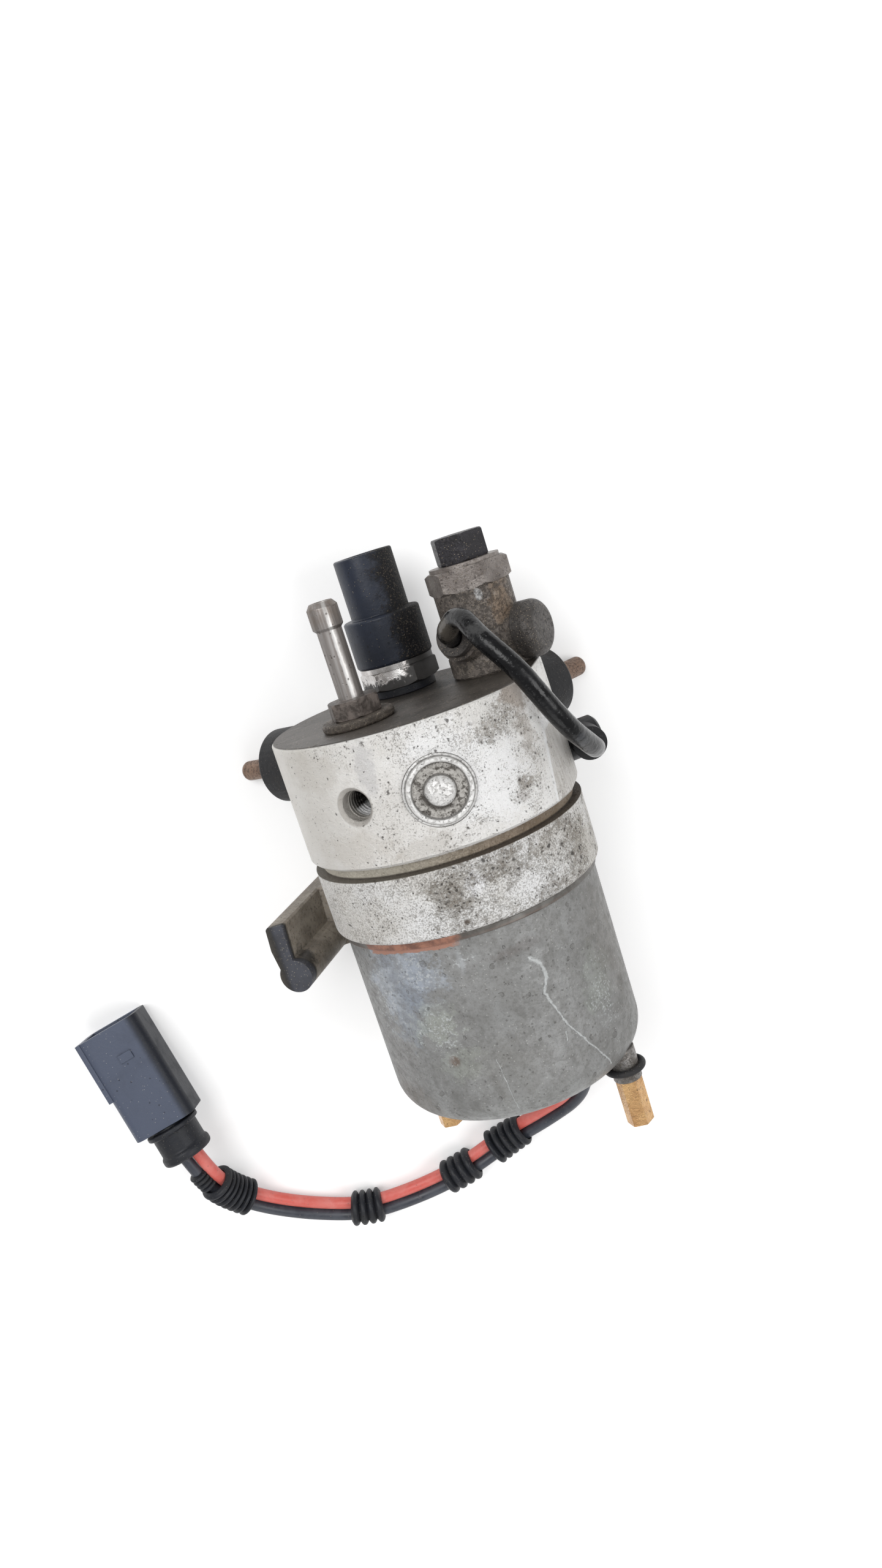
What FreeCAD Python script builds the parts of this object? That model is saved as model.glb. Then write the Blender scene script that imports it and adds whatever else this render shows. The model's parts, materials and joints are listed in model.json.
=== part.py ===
import FreeCAD, Part
import math
import os

from FreeCAD import Placement, Rotation, Vector

# Electric auxiliary pump lying on its side: aluminium head with screw-in fittings,
# motor flange, motor can, rubber mounts and a short two-wire lead with its connector.
# Millimetres. +Y is the pump axis towards the fittings, +Z is up, +X is to the right.
# The origin is on the pump axis, level with the side holes at the middle of the head.
# Azimuths turn about +Y from +Z towards +X.

# Head
head_radius = 32.5
head_length = 28.6
head_edge = 0.6
flat_azimuth = 73.0
flat_depth_top = 0.9
flat_depth_bottom = 2.5
thread_gap = 0.1
fit_gap = 0.05
joint_gap = 0.3

# Motor flange, seal ring and can
joint_groove = 2.7
flange_inset = 0.3
flange_length = 15.3
flange_round = 1.3
spigot_inset = 1.9
recess_inset = 5.7
recess_depth = 4.8
seal_ring_thickness = 1.6
seal_ring_overhang = 0.6
seal_ring_lip = 0.6
can_inset = 2.15
can_length = 46.3
can_wall = 1.6
can_corner = 8.0
gasket_section = 1.6
gasket_inset = 4.4

# Gear pump: a rotor with one lobe less turns inside a ring with five lobes
lobe_count = 5
lobe_circle = 11.0
lobe_radius = 4.0
eccentricity = 1.4
mesh_gap = 0.05
rotor_thickness = 9.9
rotor_end_gap = 0.05
ring_wall = 3.2
pocket_gap = 0.08
port_depth = 2.0
port_inner = 5.6
port_outer = 9.6

# Motor
shaft_radius = 4.0
bearing_radius = 11.0
bearing_width = 7.0
bearing_ball = 1.9
bearing_balls = 8
cage_wall = 1.2
race_wall = 1.9
seal_radius = 8.0
seal_width = 3.5
bush_radius = 7.5
bush_length = 5.6
bush_seat_wall = 2.0
core_inset = 6.35
core_end_space = 20.3
core_rim = 2.0
core_slots = 12
slot_width = 5.4
slot_mouth = 1.6
slot_bottom = 11.0
core_end_gap = 9.2
winding_gap = 0.2
winding_height = 5.0
winding_reach = 0.7
air_gap = 0.6
magnet_overhang = 3.0
magnet_span = 104.0
magnet_gap = 0.15
commutator_radius = 8.4
commutator_length = 9.0
commutator_slit = 0.6
brush_plate_thickness = 2.0
brush_width = 6.0
brush_height = 4.0
brush_box_inset = 1.9
brush_share = 0.5625
brush_spring_wire = 0.5
brush_spring_radius = 1.4
brush_spring_turns = 5
brush_box_wall = 0.6
brush_box_end_wall = 1.0
brush_box_space = 1.2

# Through-bolts of the can, with a brass sleeve nut at the outer end
bolt_azimuth = 57.88
bolt_inset = 4.02
bolt_radius = 1.6
bolt_grip = 11.0
bolt_seat_radius = 3.4
bolt_seat_length = 8.0
bolt_seal_wire = 0.8
brass_nut_flats = 5.6
brass_nut_length = 11.6

# Screws that hold the flange to the head
screw_radius = 2.2
screw_head_radius = 4.0
screw_head_height = 3.8
screw_socket_flats = 4.0
screw_socket_depth = 2.0
screw_grip = 8.5

# Empty mounting hole and the two rubber mounts
mount_hole_radius = 3.45
mount_hole_depth = 10.0
mount_hole_mouth = 4.1
drill_tip = 0.6
mount_hole_azimuth = -32.0
buffer_azimuth = 128.0
buffer_height = 4.0
buffer_radius = 9.2
buffer_length = 13.1
buffer_round = 0.8
spot_depth = 1.6
stud_radius = 2.5
stud_inner_radius = 3.0
stud_plate_radius = 3.8
stud_plate = 2.0
stud_outside = 13.3
stud_round = 1.4
stud_inside = 8.0
stud_grip = 3.2

# Valve in the side of the head
valve_azimuth = 1.6
valve_height = -0.9
valve_seat_radius = 14.0
valve_bore = 5.4
valve_port = 1.9
poppet_length = 6.0
poppet_cone = 2.2
valve_spring_wire = 0.9
valve_spring_radius = 3.4
valve_spring_pitch = 2.14
plug_radius = 7.8
plug_flange = 2.1
plug_thread_radius = 6.6
plug_thread_length = 4.6
plug_recess_radius = 6.0
plug_recess = 1.0
peg_radius = 3.3
peg_height = 2.4

# Hose nipple
nipple_place = (-11.3, 12.0)
nipple_washer_radius = 8.2
nipple_washer_height = 1.9
nipple_hex_flats = 10.5
nipple_hex_height = 4.0
nipple_tube_radius = 2.8
nipple_tube_length = 21.6
nipple_bead_radius = 3.45
nipple_bead_length = 5.6
nipple_bore = 1.9
nipple_thread_radius = 4.5
nipple_thread_length = 8.0

# Pressure switch
switch_place = (0.2, -16.0)
switch_seal_radius = 7.8
switch_seal_height = 2.0
switch_hex_flats = 16.4
switch_hex_height = 5.7
switch_rim_radius = 8.9
switch_rim_height = 1.1
switch_thread_radius = 5.5
switch_thread_length = 9.0
switch_lower_radius = 9.3
switch_lower_height = 11.6
switch_upper_radius = 7.1
switch_upper_height = 14.4
switch_socket_radius = 5.2
switch_socket_depth = 9.5
switch_pin_radius = 0.8
switch_pin_length = 4.5
switch_pin_spread = 2.4

# Steel tower with the check valve, the pipe port and a side plug
tower_azimuth = 105.32
tower_inset = 9.79
tower_foot_radius = 10.0
tower_foot_height = 5.2
tower_radius = 9.0
tower_height = 19.5
tower_thread_radius = 5.5
tower_thread_length = 9.0
tower_inlet = 1.6
check_seat_height = 4.2
check_bore = 2.6
check_ball_radius = 2.4
check_spring_wire = 0.5
check_spring_radius = 1.7
collar_flats = 17.2
collar_height = 5.2
collar_stem_radius = 6.0
collar_stem_length = 4.6
collar_disc_radius = 8.3
collar_disc_height = 0.9
cap_nut_flats = 11.2
cap_nut_height = 6.3
cap_nut_stem_radius = 3.4
cap_nut_stem_length = 4.5
side_plug_azimuth = 55.0
side_plug_height = 6.95
side_plug_radius = 6.6
side_plug_reach = 15.2
side_plug_boss = 10.0
side_plug_stem = 3.4
port_direction = Vector(-0.55, 0.30, 0.78)
port_height = 6.6
port_boss_radius = 5.3
port_boss_reach = 12.6
port_ring_radius = 4.5
port_ring_height = 2.0
port_socket_start = 8.0

# Pressure pipe from the tower over the right shoulder of the head to an elbow below its flat
pipe_radius = 2.3
pipe_bore = 1.3
pipe_gap = 0.1
pipe_first_run = 18.5
pipe_rise = (-5.78, 10.09, 22.83)
# Corners past the head's shoulder: azimuth, level, distance outside the head's radius
pipe_shoulder = [(38.15, 25.95, -2.97), (41.69, 17.56, 3.14), (51.17, 2.07, 6.67), (75.0, -8.5, 6.4)]
elbow_azimuth = 103.0
elbow_height = -8.5
elbow_hub_outside = 5.7
elbow_radius = 4.6
elbow_reach = 3.6
elbow_stub_radius = 4.0
elbow_stub_length = 9.0
elbow_socket_start = 3.6
elbow_stem_radius = 3.4
elbow_stem_length = 7.5
elbow_seat_gap = 0.4
elbow_seat_depth = 0.3

# Rubber foot at the left of the can
foot_thickness = 4.6
foot_edge = 0.5
foot_swell = 0.45
foot_swell_drop = 6.0
foot_waist = 0.45
foot_top = -27.75
foot_bead_drop = 13.25
foot_bead_radius = 4.15
foot_bead_inset = 0.95
foot_outside = 14.15
foot_near_height = 0.13
foot_lean = (0.35, -0.937)
foot_joint = 1.0
foot_base_length = 16.6
foot_base_right = 12.0
foot_wall_inset = 8.35
foot_cradle = 3.5

# Lead: the wires leave the can's end wall low down, turn left and lie along the ground
gland_azimuth = 136.97
gland_inset = 9.83
gland_radius = 5.0
gland_flange_radius = 7.0
gland_flange_height = 1.6
gland_boot_length = 7.0
gland_boot_radius = 4.5
lead_reach = 12.3
wire_radius = 1.6
wire_spread = 1.75
wire_gap = 0.05
# Corners of the pair's centre line: x, y, height above the ground
lead_corners = [
    (10.9, -103.4, 15.4),
    (1.5, -110.0, 8.8),
    (-10.6, -114.7, 5.45),
    (-26.0, -120.4, 5.25),
    (-39.9, -123.5, 3.4),
    (-53.8, -122.7, 5.15),
    (-67.6, -118.9, 3.4),
    (-79.0, -111.9, 5.0),
    (-86.9, -103.4, 8.2),
    (-90.1, -94.6, 12.4),
]
sleeve_bore = 3.45
sleeve_root = 3.95
sleeve_end = 0.6
rib_rise = 0.12
rib_crest = 0.5
# Ribbed sleeves: corner of the route, length, ribs, crest radius at each end
sleeves = {
    "sleeve_near_can": (4, 11.0, 5, 4.4, 5.0),
    "sleeve_middle": (5, 9.6, 4, 4.7, 4.7),
    "sleeve_far": (7, 8.6, 4, 4.7, 4.7),
    "connector_boot": (10, 12.6, 7, 4.95, 4.95),
}

# Connector: its rear is held up by the wires and its mouth dips to the ground
plug_rear = (-94.2, -77.2)
plug_turn = 13.0
plug_dip = 10.0
plug_width = 17.7
plug_height = 12.4
plug_length = 29.9
plug_round = 3.0
plug_wall = 1.9
plug_mouth_depth = 15.0
plug_rail = (1.3, 2.7)
plug_rail_length = 17.4
plug_rail_proud = 0.3
plug_rail_drop = 0.5
plug_nub = (3.8, 2.2, 0.5)
plug_nub_place = (1.5, 8.6)
plug_seal_radius = 7.2
plug_seal_length = 1.3
plug_seal_gap = 0.8
plug_neck_radius = 6.2
plug_neck_length = 7.4
plug_ring_radius = 6.8
plug_ring_length = 2.8
plug_ring_edge = 0.6
wire_entry = 2.0
blade_width = 2.8
blade_thickness = 0.8
blade_length = 7.5
blade_spread = 4.2
blade_seat = 4.0


def around(radius, azimuth):
    """Place (x, z) at a radius and an azimuth."""
    return radius * math.sin(math.radians(azimuth)), radius * math.cos(math.radians(azimuth))


# Sizes that follow the head's radius
flange_radius = head_radius - flange_inset
can_radius = head_radius - can_inset
seal_ring_radius = can_radius + seal_ring_overhang
core_radius = can_radius - can_wall - core_inset
core_length = can_length - core_end_space
slot_top = core_radius - core_rim
magnet_length = core_length + 2 * magnet_overhang
bolt_place = around(can_radius - bolt_inset, bolt_azimuth)
tower_place = around(head_radius - tower_inset, tower_azimuth)
gland_place = around(can_radius - gland_inset, gland_azimuth)
elbow_hub_distance = head_radius + elbow_hub_outside
foot_near_corner = (-can_radius - foot_outside, foot_near_height)
foot_wall_top = foot_wall_inset - can_radius

# Levels along the pump axis
head_top = head_length / 2
head_face = -head_length / 2
flange_top = head_face - joint_groove
flange_bottom = flange_top - flange_length
spigot_radius = flange_radius - spigot_inset
recess_radius = flange_radius - recess_inset
screw_circle = recess_radius - screw_head_radius
recess_floor = flange_bottom + recess_depth
bearing_low = recess_floor
bearing_high = bearing_low + bearing_width
seal_high = bearing_high + seal_width
can_top = flange_bottom - seal_ring_thickness
can_end = can_top - can_length
can_inside = can_radius - can_wall
can_floor = can_end + can_wall
pocket_top = head_face + rotor_thickness + 2 * rotor_end_gap
ring_radius = lobe_circle - lobe_radius + 2 * eccentricity + ring_wall
brush_plate_top = flange_bottom - 0.1
brush_plate_low = brush_plate_top - brush_plate_thickness
brush_box_start = commutator_radius + brush_box_space
brush_box_end = recess_radius - brush_box_inset
brush_length = (brush_box_end - brush_box_start + brush_box_end_wall) * brush_share
commutator_high = recess_floor - 0.7
commutator_low = commutator_high - commutator_length
core_high = commutator_low - core_end_gap + 2.0
core_low = core_high - core_length
shaft_end_high = pocket_top + 1.5
shaft_end_low = can_floor + 1.0
axis_y = Vector(0, 1, 0)

# Height of the ground under the tips of the two outer studs
buffer_start = head_radius - spot_depth
buffer_end = buffer_start + buffer_length
buffer_fall = math.radians(180.0 - buffer_azimuth)
stud_tip = buffer_end + stud_outside
ground = -((stud_tip - stud_round) * math.cos(buffer_fall)
           + (stud_radius - stud_round) * math.sin(buffer_fall) + stud_round)


def along(radius, low, high, place=(0.0, 0.0)):
    """Round bar along the pump axis from one level to another."""
    return Part.makeCylinder(radius, high - low, Vector(place[0], low, place[1]), axis_y)


def tube(outer, inner, low, high, place=(0.0, 0.0)):
    """Round tube along the pump axis."""
    return along(outer, low, high, place).cut(along(inner, low - 1, high + 1, place))


def hexagon(flats, low, high, place=(0.0, 0.0), turn=0.0):
    """Hexagonal bar along the pump axis, with its corners chamfered by a cone at both ends."""
    corner = flats / math.sqrt(3)
    points = []
    for k in range(7):
        angle = math.radians(60 * k + turn)
        points.append(Vector(place[0] + corner * math.cos(angle), low, place[1] + corner * math.sin(angle)))
    prism = Part.Face(Part.makePolygon(points)).extrude(Vector(0, high - low, 0))
    rim = flats / 2 + 0.25
    slope = (corner - rim + 0.2) * math.tan(math.radians(30))
    outline = [
        Vector(0, low, 0),
        Vector(rim, low, 0),
        Vector(corner + 0.2, low + slope, 0),
        Vector(corner + 0.2, high - slope, 0),
        Vector(rim, high, 0),
        Vector(0, high, 0),
        Vector(0, low, 0),
    ]
    cone = Part.Face(Part.makePolygon(outline)).revolve(Vector(0, 0, 0), axis_y, 360)
    cone.translate(Vector(place[0], 0, place[1]))
    return prism.common(cone)


def round_edges(body):
    """Circular edges of a body."""
    return [edge for edge in body.Edges if isinstance(edge.Curve, Part.Circle)]


def edges_below(body, level):
    """Circular edges that lie below a level of the pump's axis."""
    return [edge for edge in round_edges(body) if edge.BoundBox.YMax < level]


def edges_above(body, level):
    """Circular edges that lie above a level of the pump's axis."""
    return [edge for edge in round_edges(body) if edge.BoundBox.YMin > level]


def edges_beyond(body, distance):
    """Circular edges of a shape along +Z that lie beyond a distance from the axis."""
    return [edge for edge in round_edges(body) if edge.BoundBox.ZMin > distance]


def turned(outline):
    """Solid of revolution about the pump axis from (radius, level) pairs."""
    points = [Vector(r, y, 0) for r, y in outline]
    points.append(points[0])
    return Part.Face(Part.makePolygon(points)).revolve(Vector(0, 0, 0), axis_y, 360)


def radial(shape, azimuth, height):
    """Places a shape that is built along +Z from the axis at an azimuth and a level."""
    placed = shape.copy()
    placed.Placement = Placement(Vector(0, height, 0), Rotation(axis_y, azimuth)).multiply(placed.Placement)
    return placed


def spoke(radius, inner, outer, azimuth, height):
    """Round bar along a radius of the pump."""
    return radial(Part.makeCylinder(radius, outer - inner, Vector(0, 0, inner)), azimuth, height)


def arc_between(start, corner, end):
    """Arc that touches both legs of a corner whose legs are equally long."""
    back = (start - corner).normalize()
    onward = (end - corner).normalize()
    half_turn = (math.pi - back.getAngle(onward)) / 2
    radius = (start - corner).Length / math.tan(half_turn)
    middle = corner + (back + onward).normalize() * (radius / math.cos(half_turn) - radius)
    return Part.Arc(start, middle, end).toShape()


def biarc(start, start_way, end, end_way):
    """Two arcs, tangent to each other and to the ways at both ends."""
    chord = end - start
    ways = start_way + end_way
    square = ways.dot(ways) - 4
    cross = chord.dot(ways)
    reach = (cross - math.sqrt(cross ** 2 - square * chord.dot(chord))) / square
    first = start + start_way * reach
    second = end - end_way * reach
    middle = (first + second) * 0.5
    return [arc_between(start, first, middle), arc_between(middle, second, end)]


def coil(wire, radius, start, end, turns):
    """Compression spring along +Z, as one unbroken tube on biarcs of a quarter turn."""
    rise = (end - start - wire) / turns
    steps = round(4 * turns)
    points = []
    ways = []
    for k in range(steps + 1):
        angle = math.pi / 2 * k
        level = start + wire / 2 + rise * k / 4
        points.append(Vector(radius * math.cos(angle), radius * math.sin(angle), level))
        way = Vector(-math.sin(angle) * radius, math.cos(angle) * radius, rise / (2 * math.pi))
        ways.append(way.normalize())
    edges = []
    for k in range(steps):
        edges.extend(biarc(points[k], ways[k], points[k + 1], ways[k + 1]))
    section = Part.Wire(Part.makeCircle(wire / 2, points[0], ways[0]))
    print("spring gap between turns", round(rise - wire, 2))
    return Part.Wire(edges).makePipeShell([section], True, False)


def rounded_route(corners, name, least):
    """Straight runs joined by tangent arcs, each arc as large as its two runs allow."""
    points = [Vector(*corner) for corner in corners]
    edges = []
    last = points[0]
    radii = []
    for k in range(1, len(points) - 1):
        back = (points[k - 1] - points[k])
        onward = (points[k + 1] - points[k])
        run = min(back.Length, onward.Length)
        half_turn = (math.pi - back.getAngle(onward)) / 2
        reach = 0.45 * run
        radii.append(reach / math.tan(half_turn))
        arc_start = points[k] + back.normalize() * reach
        arc_end = points[k] + onward.normalize() * reach
        bisector = (back + onward).normalize()
        middle = points[k] + bisector * (radii[-1] / math.cos(half_turn) - radii[-1])
        edges.append(Part.LineSegment(last, arc_start).toShape())
        edges.append(Part.Arc(arc_start, middle, arc_end).toShape())
        last = arc_end
    edges.append(Part.LineSegment(last, points[-1]).toShape())
    print(name, "radii", [round(r, 1) for r in radii], "least wanted", least)
    return Part.Wire(edges)


def swept(route, radius):
    """Round bar along a route of runs and arcs."""
    first = route.Edges[0]
    direction = first.tangentAt(first.FirstParameter)
    section = Part.Wire(Part.makeCircle(radius, first.valueAt(first.FirstParameter), direction))
    bar = route.makePipeShell([section], True, False)
    return bar


def compare_volume(name, solid, route, section_area):
    """Prints a swept solid's volume beside its section times its length."""
    print(name, "volume", round(solid.Volume, 1), "section x length", round(section_area * route.Length, 1),
          "length", round(route.Length, 1))


def inner_rotor_outline():
    """Closed outline of the inner rotor: the envelope of the five round lobes."""
    inside = lobe_count - 1
    points = []
    steps = 120
    for k in range(steps):
        t = 2 * math.pi * k / steps
        share = lobe_circle / (eccentricity * lobe_count) - math.cos(inside * t)
        psi = math.atan(math.sin(-inside * t) / share)
        reach = lobe_radius + mesh_gap
        u = lobe_circle * math.cos(t) - reach * math.cos(t + psi) - eccentricity * math.cos(lobe_count * t)
        v = -lobe_circle * math.sin(t) + reach * math.sin(t + psi) + eccentricity * math.sin(lobe_count * t)
        points.append(Vector(u, 0, v))
    curve = Part.BSplineCurve()
    curve.interpolate(points, True)
    return Part.Wire(curve.toShape())


def rotor_levels():
    """Lower and upper end of both rotors."""
    low = head_face + rotor_end_gap
    return low, low + rotor_thickness


def make_inner_rotor():
    low, high = rotor_levels()
    face = Part.Face(inner_rotor_outline())
    face.translate(Vector(0, low, 0))
    body = face.extrude(Vector(0, high - low, 0))
    return body.cut(along(shaft_radius, low - 1, high + 1))


def make_outer_rotor():
    low, high = rotor_levels()
    centre = (-eccentricity, 0.0)
    root = lobe_circle - lobe_radius + 2 * eccentricity + mesh_gap
    opening = along(root, low - 1, high + 1, centre)
    for k in range(lobe_count):
        angle = 2 * math.pi * k / lobe_count
        place = (centre[0] + lobe_circle * math.cos(angle), lobe_circle * math.sin(angle))
        opening = opening.cut(along(lobe_radius, low - 2, high + 2, place))
    return along(ring_radius, low, high, centre).cut(opening)


def kidney(side):
    """Kidney port above the rotors on one side of the line of centres."""
    ring = tube(port_outer, port_inner, pocket_top - 1, pocket_top + port_depth)
    block = Part.makeBox(2 * port_outer, port_depth + 1, port_outer,
                         Vector(-port_outer, pocket_top - 1, 2.5 if side > 0 else -2.5 - port_outer))
    return ring.common(block)


def drilling(start, end, radius):
    """Slanting passage between two points."""
    way = Vector(*end) - Vector(*start)
    return Part.makeCylinder(radius, way.Length, Vector(*start), way)


def fitting_floor(thread_length):
    """Bottom of a fitting's threaded hole in the head's top."""
    return head_top - thread_length - 1.0


def side_flat():
    """Block that mills the slightly slanting flat on the head's right side."""
    size = 2 * head_radius
    block = Part.makeBox(size, size, size, Vector(-head_radius, -head_radius, 0))
    slant = math.degrees(math.atan((flat_depth_bottom - flat_depth_top) / head_length))
    middle = head_radius - (flat_depth_bottom + flat_depth_top) / 2
    block.Placement = Placement(Vector(0, 0, middle), Rotation(Vector(1, 0, 0), -slant))
    return radial(block, flat_azimuth, 0)


def make_head():
    body = along(head_radius, head_face, head_top)
    rims = round_edges(body)
    body = body.makeChamfer(head_edge, rims)
    body = body.cut(side_flat())
    cuts = [along(ring_radius + pocket_gap, head_face - 1, pocket_top, (-eccentricity, 0.0))]
    cuts.append(along(shaft_radius + 0.3, pocket_top - 1, shaft_end_high + 0.8))
    cuts.append(kidney(1))
    cuts.append(kidney(-1))
    for place, radius, length in (
        (nipple_place, nipple_thread_radius, nipple_thread_length),
        (switch_place, switch_thread_radius, switch_thread_length),
        (tower_place, tower_thread_radius, tower_thread_length),
    ):
        cuts.append(along(radius + thread_gap, fitting_floor(length), head_top + 1, place))
    port_level = pocket_top + port_depth / 2
    port_middle = (port_inner + port_outer) / 2
    nipple_floor = (nipple_place[0], fitting_floor(nipple_thread_length) + 1, nipple_place[1])
    cuts.append(drilling(nipple_floor, (-port_middle * 0.8, port_level, port_middle * 0.6), nipple_bore))
    switch_floor = (switch_place[0], fitting_floor(switch_thread_length) + 1, switch_place[1])
    cuts.append(drilling(switch_floor, (0, port_level, -port_middle), tower_inlet))
    tower_floor = (tower_place[0], fitting_floor(tower_thread_length) + 1, tower_place[1])
    cuts.append(drilling(tower_floor, (port_middle * 0.8, port_level, -port_middle * 0.6), tower_inlet))
    cuts.append(spoke(valve_bore + fit_gap, valve_seat_radius, head_radius + 1, valve_azimuth, valve_height))
    plug_seat = plug_seat_distance()
    cuts.append(spoke(plug_thread_radius + thread_gap, plug_seat - plug_thread_length - 0.4, head_radius + 1,
                      valve_azimuth, valve_height))
    cuts.append(spoke(plug_radius + thread_gap, plug_seat, head_radius + 1, valve_azimuth, valve_height))
    cuts.append(spoke(valve_port, port_middle, valve_seat_radius + 1, valve_azimuth, valve_height))
    mouth = mount_hole_mouth - mount_hole_radius
    edge = head_radius - 0.3
    floor = head_radius - mount_hole_depth
    hole = Part.makeCylinder(mount_hole_radius, mount_hole_depth + 1, Vector(0, 0, floor))
    tip_depth = mount_hole_radius * drill_tip
    tip = Part.makeCone(0, mount_hole_radius, tip_depth, Vector(0, 0, floor - tip_depth))
    bevel = Part.makeCone(mount_hole_radius, mount_hole_mouth + 0.6, mouth + 0.6, Vector(0, 0, edge - mouth))
    cuts.append(radial(hole.fuse([tip, bevel]), mount_hole_azimuth, 0))
    for side in (-1, 1):
        cuts.append(spoke(buffer_radius + joint_gap, buffer_start, head_radius + 2,
                          side * buffer_azimuth, buffer_height))
        cuts.append(spoke(stud_inner_radius + thread_gap, buffer_start - stud_inside - 1, head_radius,
                          side * buffer_azimuth, buffer_height))
    cuts.append(spoke(elbow_radius + elbow_seat_gap, elbow_seat_distance(), head_radius + 2,
                      elbow_azimuth, elbow_height))
    cuts.append(spoke(elbow_stem_radius + thread_gap, elbow_seat_distance() - elbow_stem_length - 1,
                      head_radius, elbow_azimuth, elbow_height))
    for place in screw_places():
        cuts.append(along(screw_radius + thread_gap, head_face - 1, head_face + screw_grip + 0.8, place))
    return body.cut(cuts)


def plug_seat_distance():
    """Depth of the valve plug's spot face, just below the curved surface at the plug's rim."""
    return math.sqrt(head_radius ** 2 - plug_radius ** 2) - 0.15


def elbow_seat_distance():
    """Depth of the elbow's spot face, just below the curved surface at its rim."""
    return math.sqrt(head_radius ** 2 - (elbow_radius + elbow_seat_gap) ** 2) - elbow_seat_depth


def screw_places():
    """Places of the four flange screws."""
    places = []
    for k in range(4):
        angle = math.radians(45 + 90 * k)
        places.append((screw_circle * math.sin(angle), screw_circle * math.cos(angle)))
    return places


def make_flange():
    body = along(flange_radius, flange_bottom, flange_top)
    lower = edges_below(body, flange_bottom + 0.1)
    body = body.makeFillet(flange_round, lower)
    body = body.fuse(along(spigot_radius, flange_top, head_face))
    gasket_outer = spigot_radius - (gasket_inset - gasket_section * 1.5) / 2
    cuts = [
        along(recess_radius, flange_bottom - 1, recess_floor),
        along(bearing_radius + fit_gap, recess_floor - 1, bearing_high),
        along(seal_radius + fit_gap, bearing_high - 1, seal_high),
        along(shaft_radius + 0.3, seal_high - 1, head_face + 1),
        tube(gasket_outer, gasket_outer - gasket_section * 1.5, head_face - gasket_section, head_face + 1),
    ]
    for place in screw_places():
        cuts.append(along(screw_radius + thread_gap, recess_floor - 1, head_face + 1, place))
    for place in bolt_places():
        cuts.append(along(bolt_radius + thread_gap, flange_bottom - 1, flange_bottom + bolt_grip + 1, place))
    return body.cut(cuts)


def make_gasket():
    outer = spigot_radius - (gasket_inset - gasket_section * 1.5) / 2
    middle = outer - gasket_section * 0.75
    return Part.makeTorus(middle, gasket_section / 2, Vector(0, head_face - gasket_section / 2, 0), axis_y)


def make_seal_ring():
    return tube(seal_ring_radius, can_inside - seal_ring_lip, can_top, flange_bottom)


def bolt_places():
    """Places of the two through-bolts, opposite each other."""
    return [bolt_place, (-bolt_place[0], -bolt_place[1])]


def bolt_seat_top():
    """Inner end of the bolt bush, on the can's rounded corner."""
    distance = math.hypot(*bolt_place) - (can_radius - can_corner)
    inner = can_corner - can_wall
    return can_end + can_corner - math.sqrt(inner ** 2 - distance ** 2) + 0.6


def make_can():
    outer = along(can_radius, can_end, can_top)
    rim = edges_below(outer, can_end + 0.1)
    outer = outer.makeFillet(can_corner, rim)
    inner = along(can_inside, can_floor, can_top + 1)
    rim = edges_below(inner, can_floor + 0.1)
    inner = inner.makeFillet(can_corner - can_wall, rim)
    seat = tube(bush_radius + bush_seat_wall, bush_radius, can_floor - 0.5, can_floor + bush_length)
    body = outer.cut(inner).fuse(seat)
    cuts = [along(gland_radius + wire_gap, can_end - 1, can_floor + 1, gland_place)]
    for place in bolt_places():
        cuts.append(along(bolt_seat_radius + fit_gap, can_end - 1, bolt_seat_top(), place))
        cuts.append(along(bolt_radius + thread_gap, can_end - 1, bolt_seat_top() + 3, place))
    return body.cut(cuts)


def sector(radius, low, high, azimuth, span):
    """Prism over a pie slice, centred on an azimuth and narrower than half a turn."""
    points = [Vector(0, low, 0)]
    for k in range(5):
        angle = math.radians(azimuth + span * (k / 4 - 0.5))
        points.append(Vector(2 * radius * math.sin(angle), low, 2 * radius * math.cos(angle)))
    points.append(points[0])
    return Part.Face(Part.makePolygon(points)).extrude(Vector(0, high - low, 0))


def make_magnets():
    """Two ferrite shells against the can wall, clear of the through-bolts."""
    middle = (core_high + core_low) / 2
    low = middle - magnet_length / 2
    high = middle + magnet_length / 2
    ring = tube(can_inside - magnet_gap, core_radius + air_gap, low, high)
    solids = []
    for side in (90, 270):
        solids.append(ring.common(sector(can_radius, low, high, side + bolt_azimuth, magnet_span)).Solids[0])
    return Part.makeCompound(solids)


def make_shaft():
    body = along(shaft_radius, shaft_end_low, shaft_end_high)
    return body.makeChamfer(0.5, round_edges(body))


def slot_shape(width, low, high, inner, outer):
    """Radial slot with a narrow mouth, along +Z."""
    wide = Part.makeBox(width, high - low, outer - inner, Vector(-width / 2, low, inner))
    return wide


def make_core():
    body = along(core_radius, core_low, core_high).cut(along(shaft_radius, core_low - 1, core_high + 1))
    cuts = []
    for k in range(core_slots):
        slot = slot_shape(slot_width * 0.62, core_low - 1, core_high + 1, slot_bottom, slot_top)
        mouth = slot_shape(slot_mouth, core_low - 1, core_high + 1, slot_top - 0.5, core_radius + 1)
        turn = 360.0 * k / core_slots
        cuts.append(radial(slot, turn, 0))
        cuts.append(radial(mouth, turn, 0))
    return body.cut(cuts)


def make_winding():
    """Copper in the slots with a ring of end turns at both ends of the core."""
    bars = []
    for k in range(core_slots):
        bar = slot_shape(slot_width * 0.62 - 2 * winding_gap, core_low - 1, core_high + 1,
                         slot_bottom + winding_gap, slot_top - winding_gap)
        bars.append(radial(bar, 360.0 * k / core_slots, 0))
    ends = []
    for low in (core_low - winding_height - winding_gap, core_high + winding_gap):
        inner = bush_radius + bush_seat_wall + winding_reach
        ring = tube(slot_top - winding_gap, inner, low, low + winding_height)
        rims = round_edges(ring)
        ends.append(ring.makeFillet(1.6, rims))
    return ends[0].fuse(ends[1:] + bars)


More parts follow.
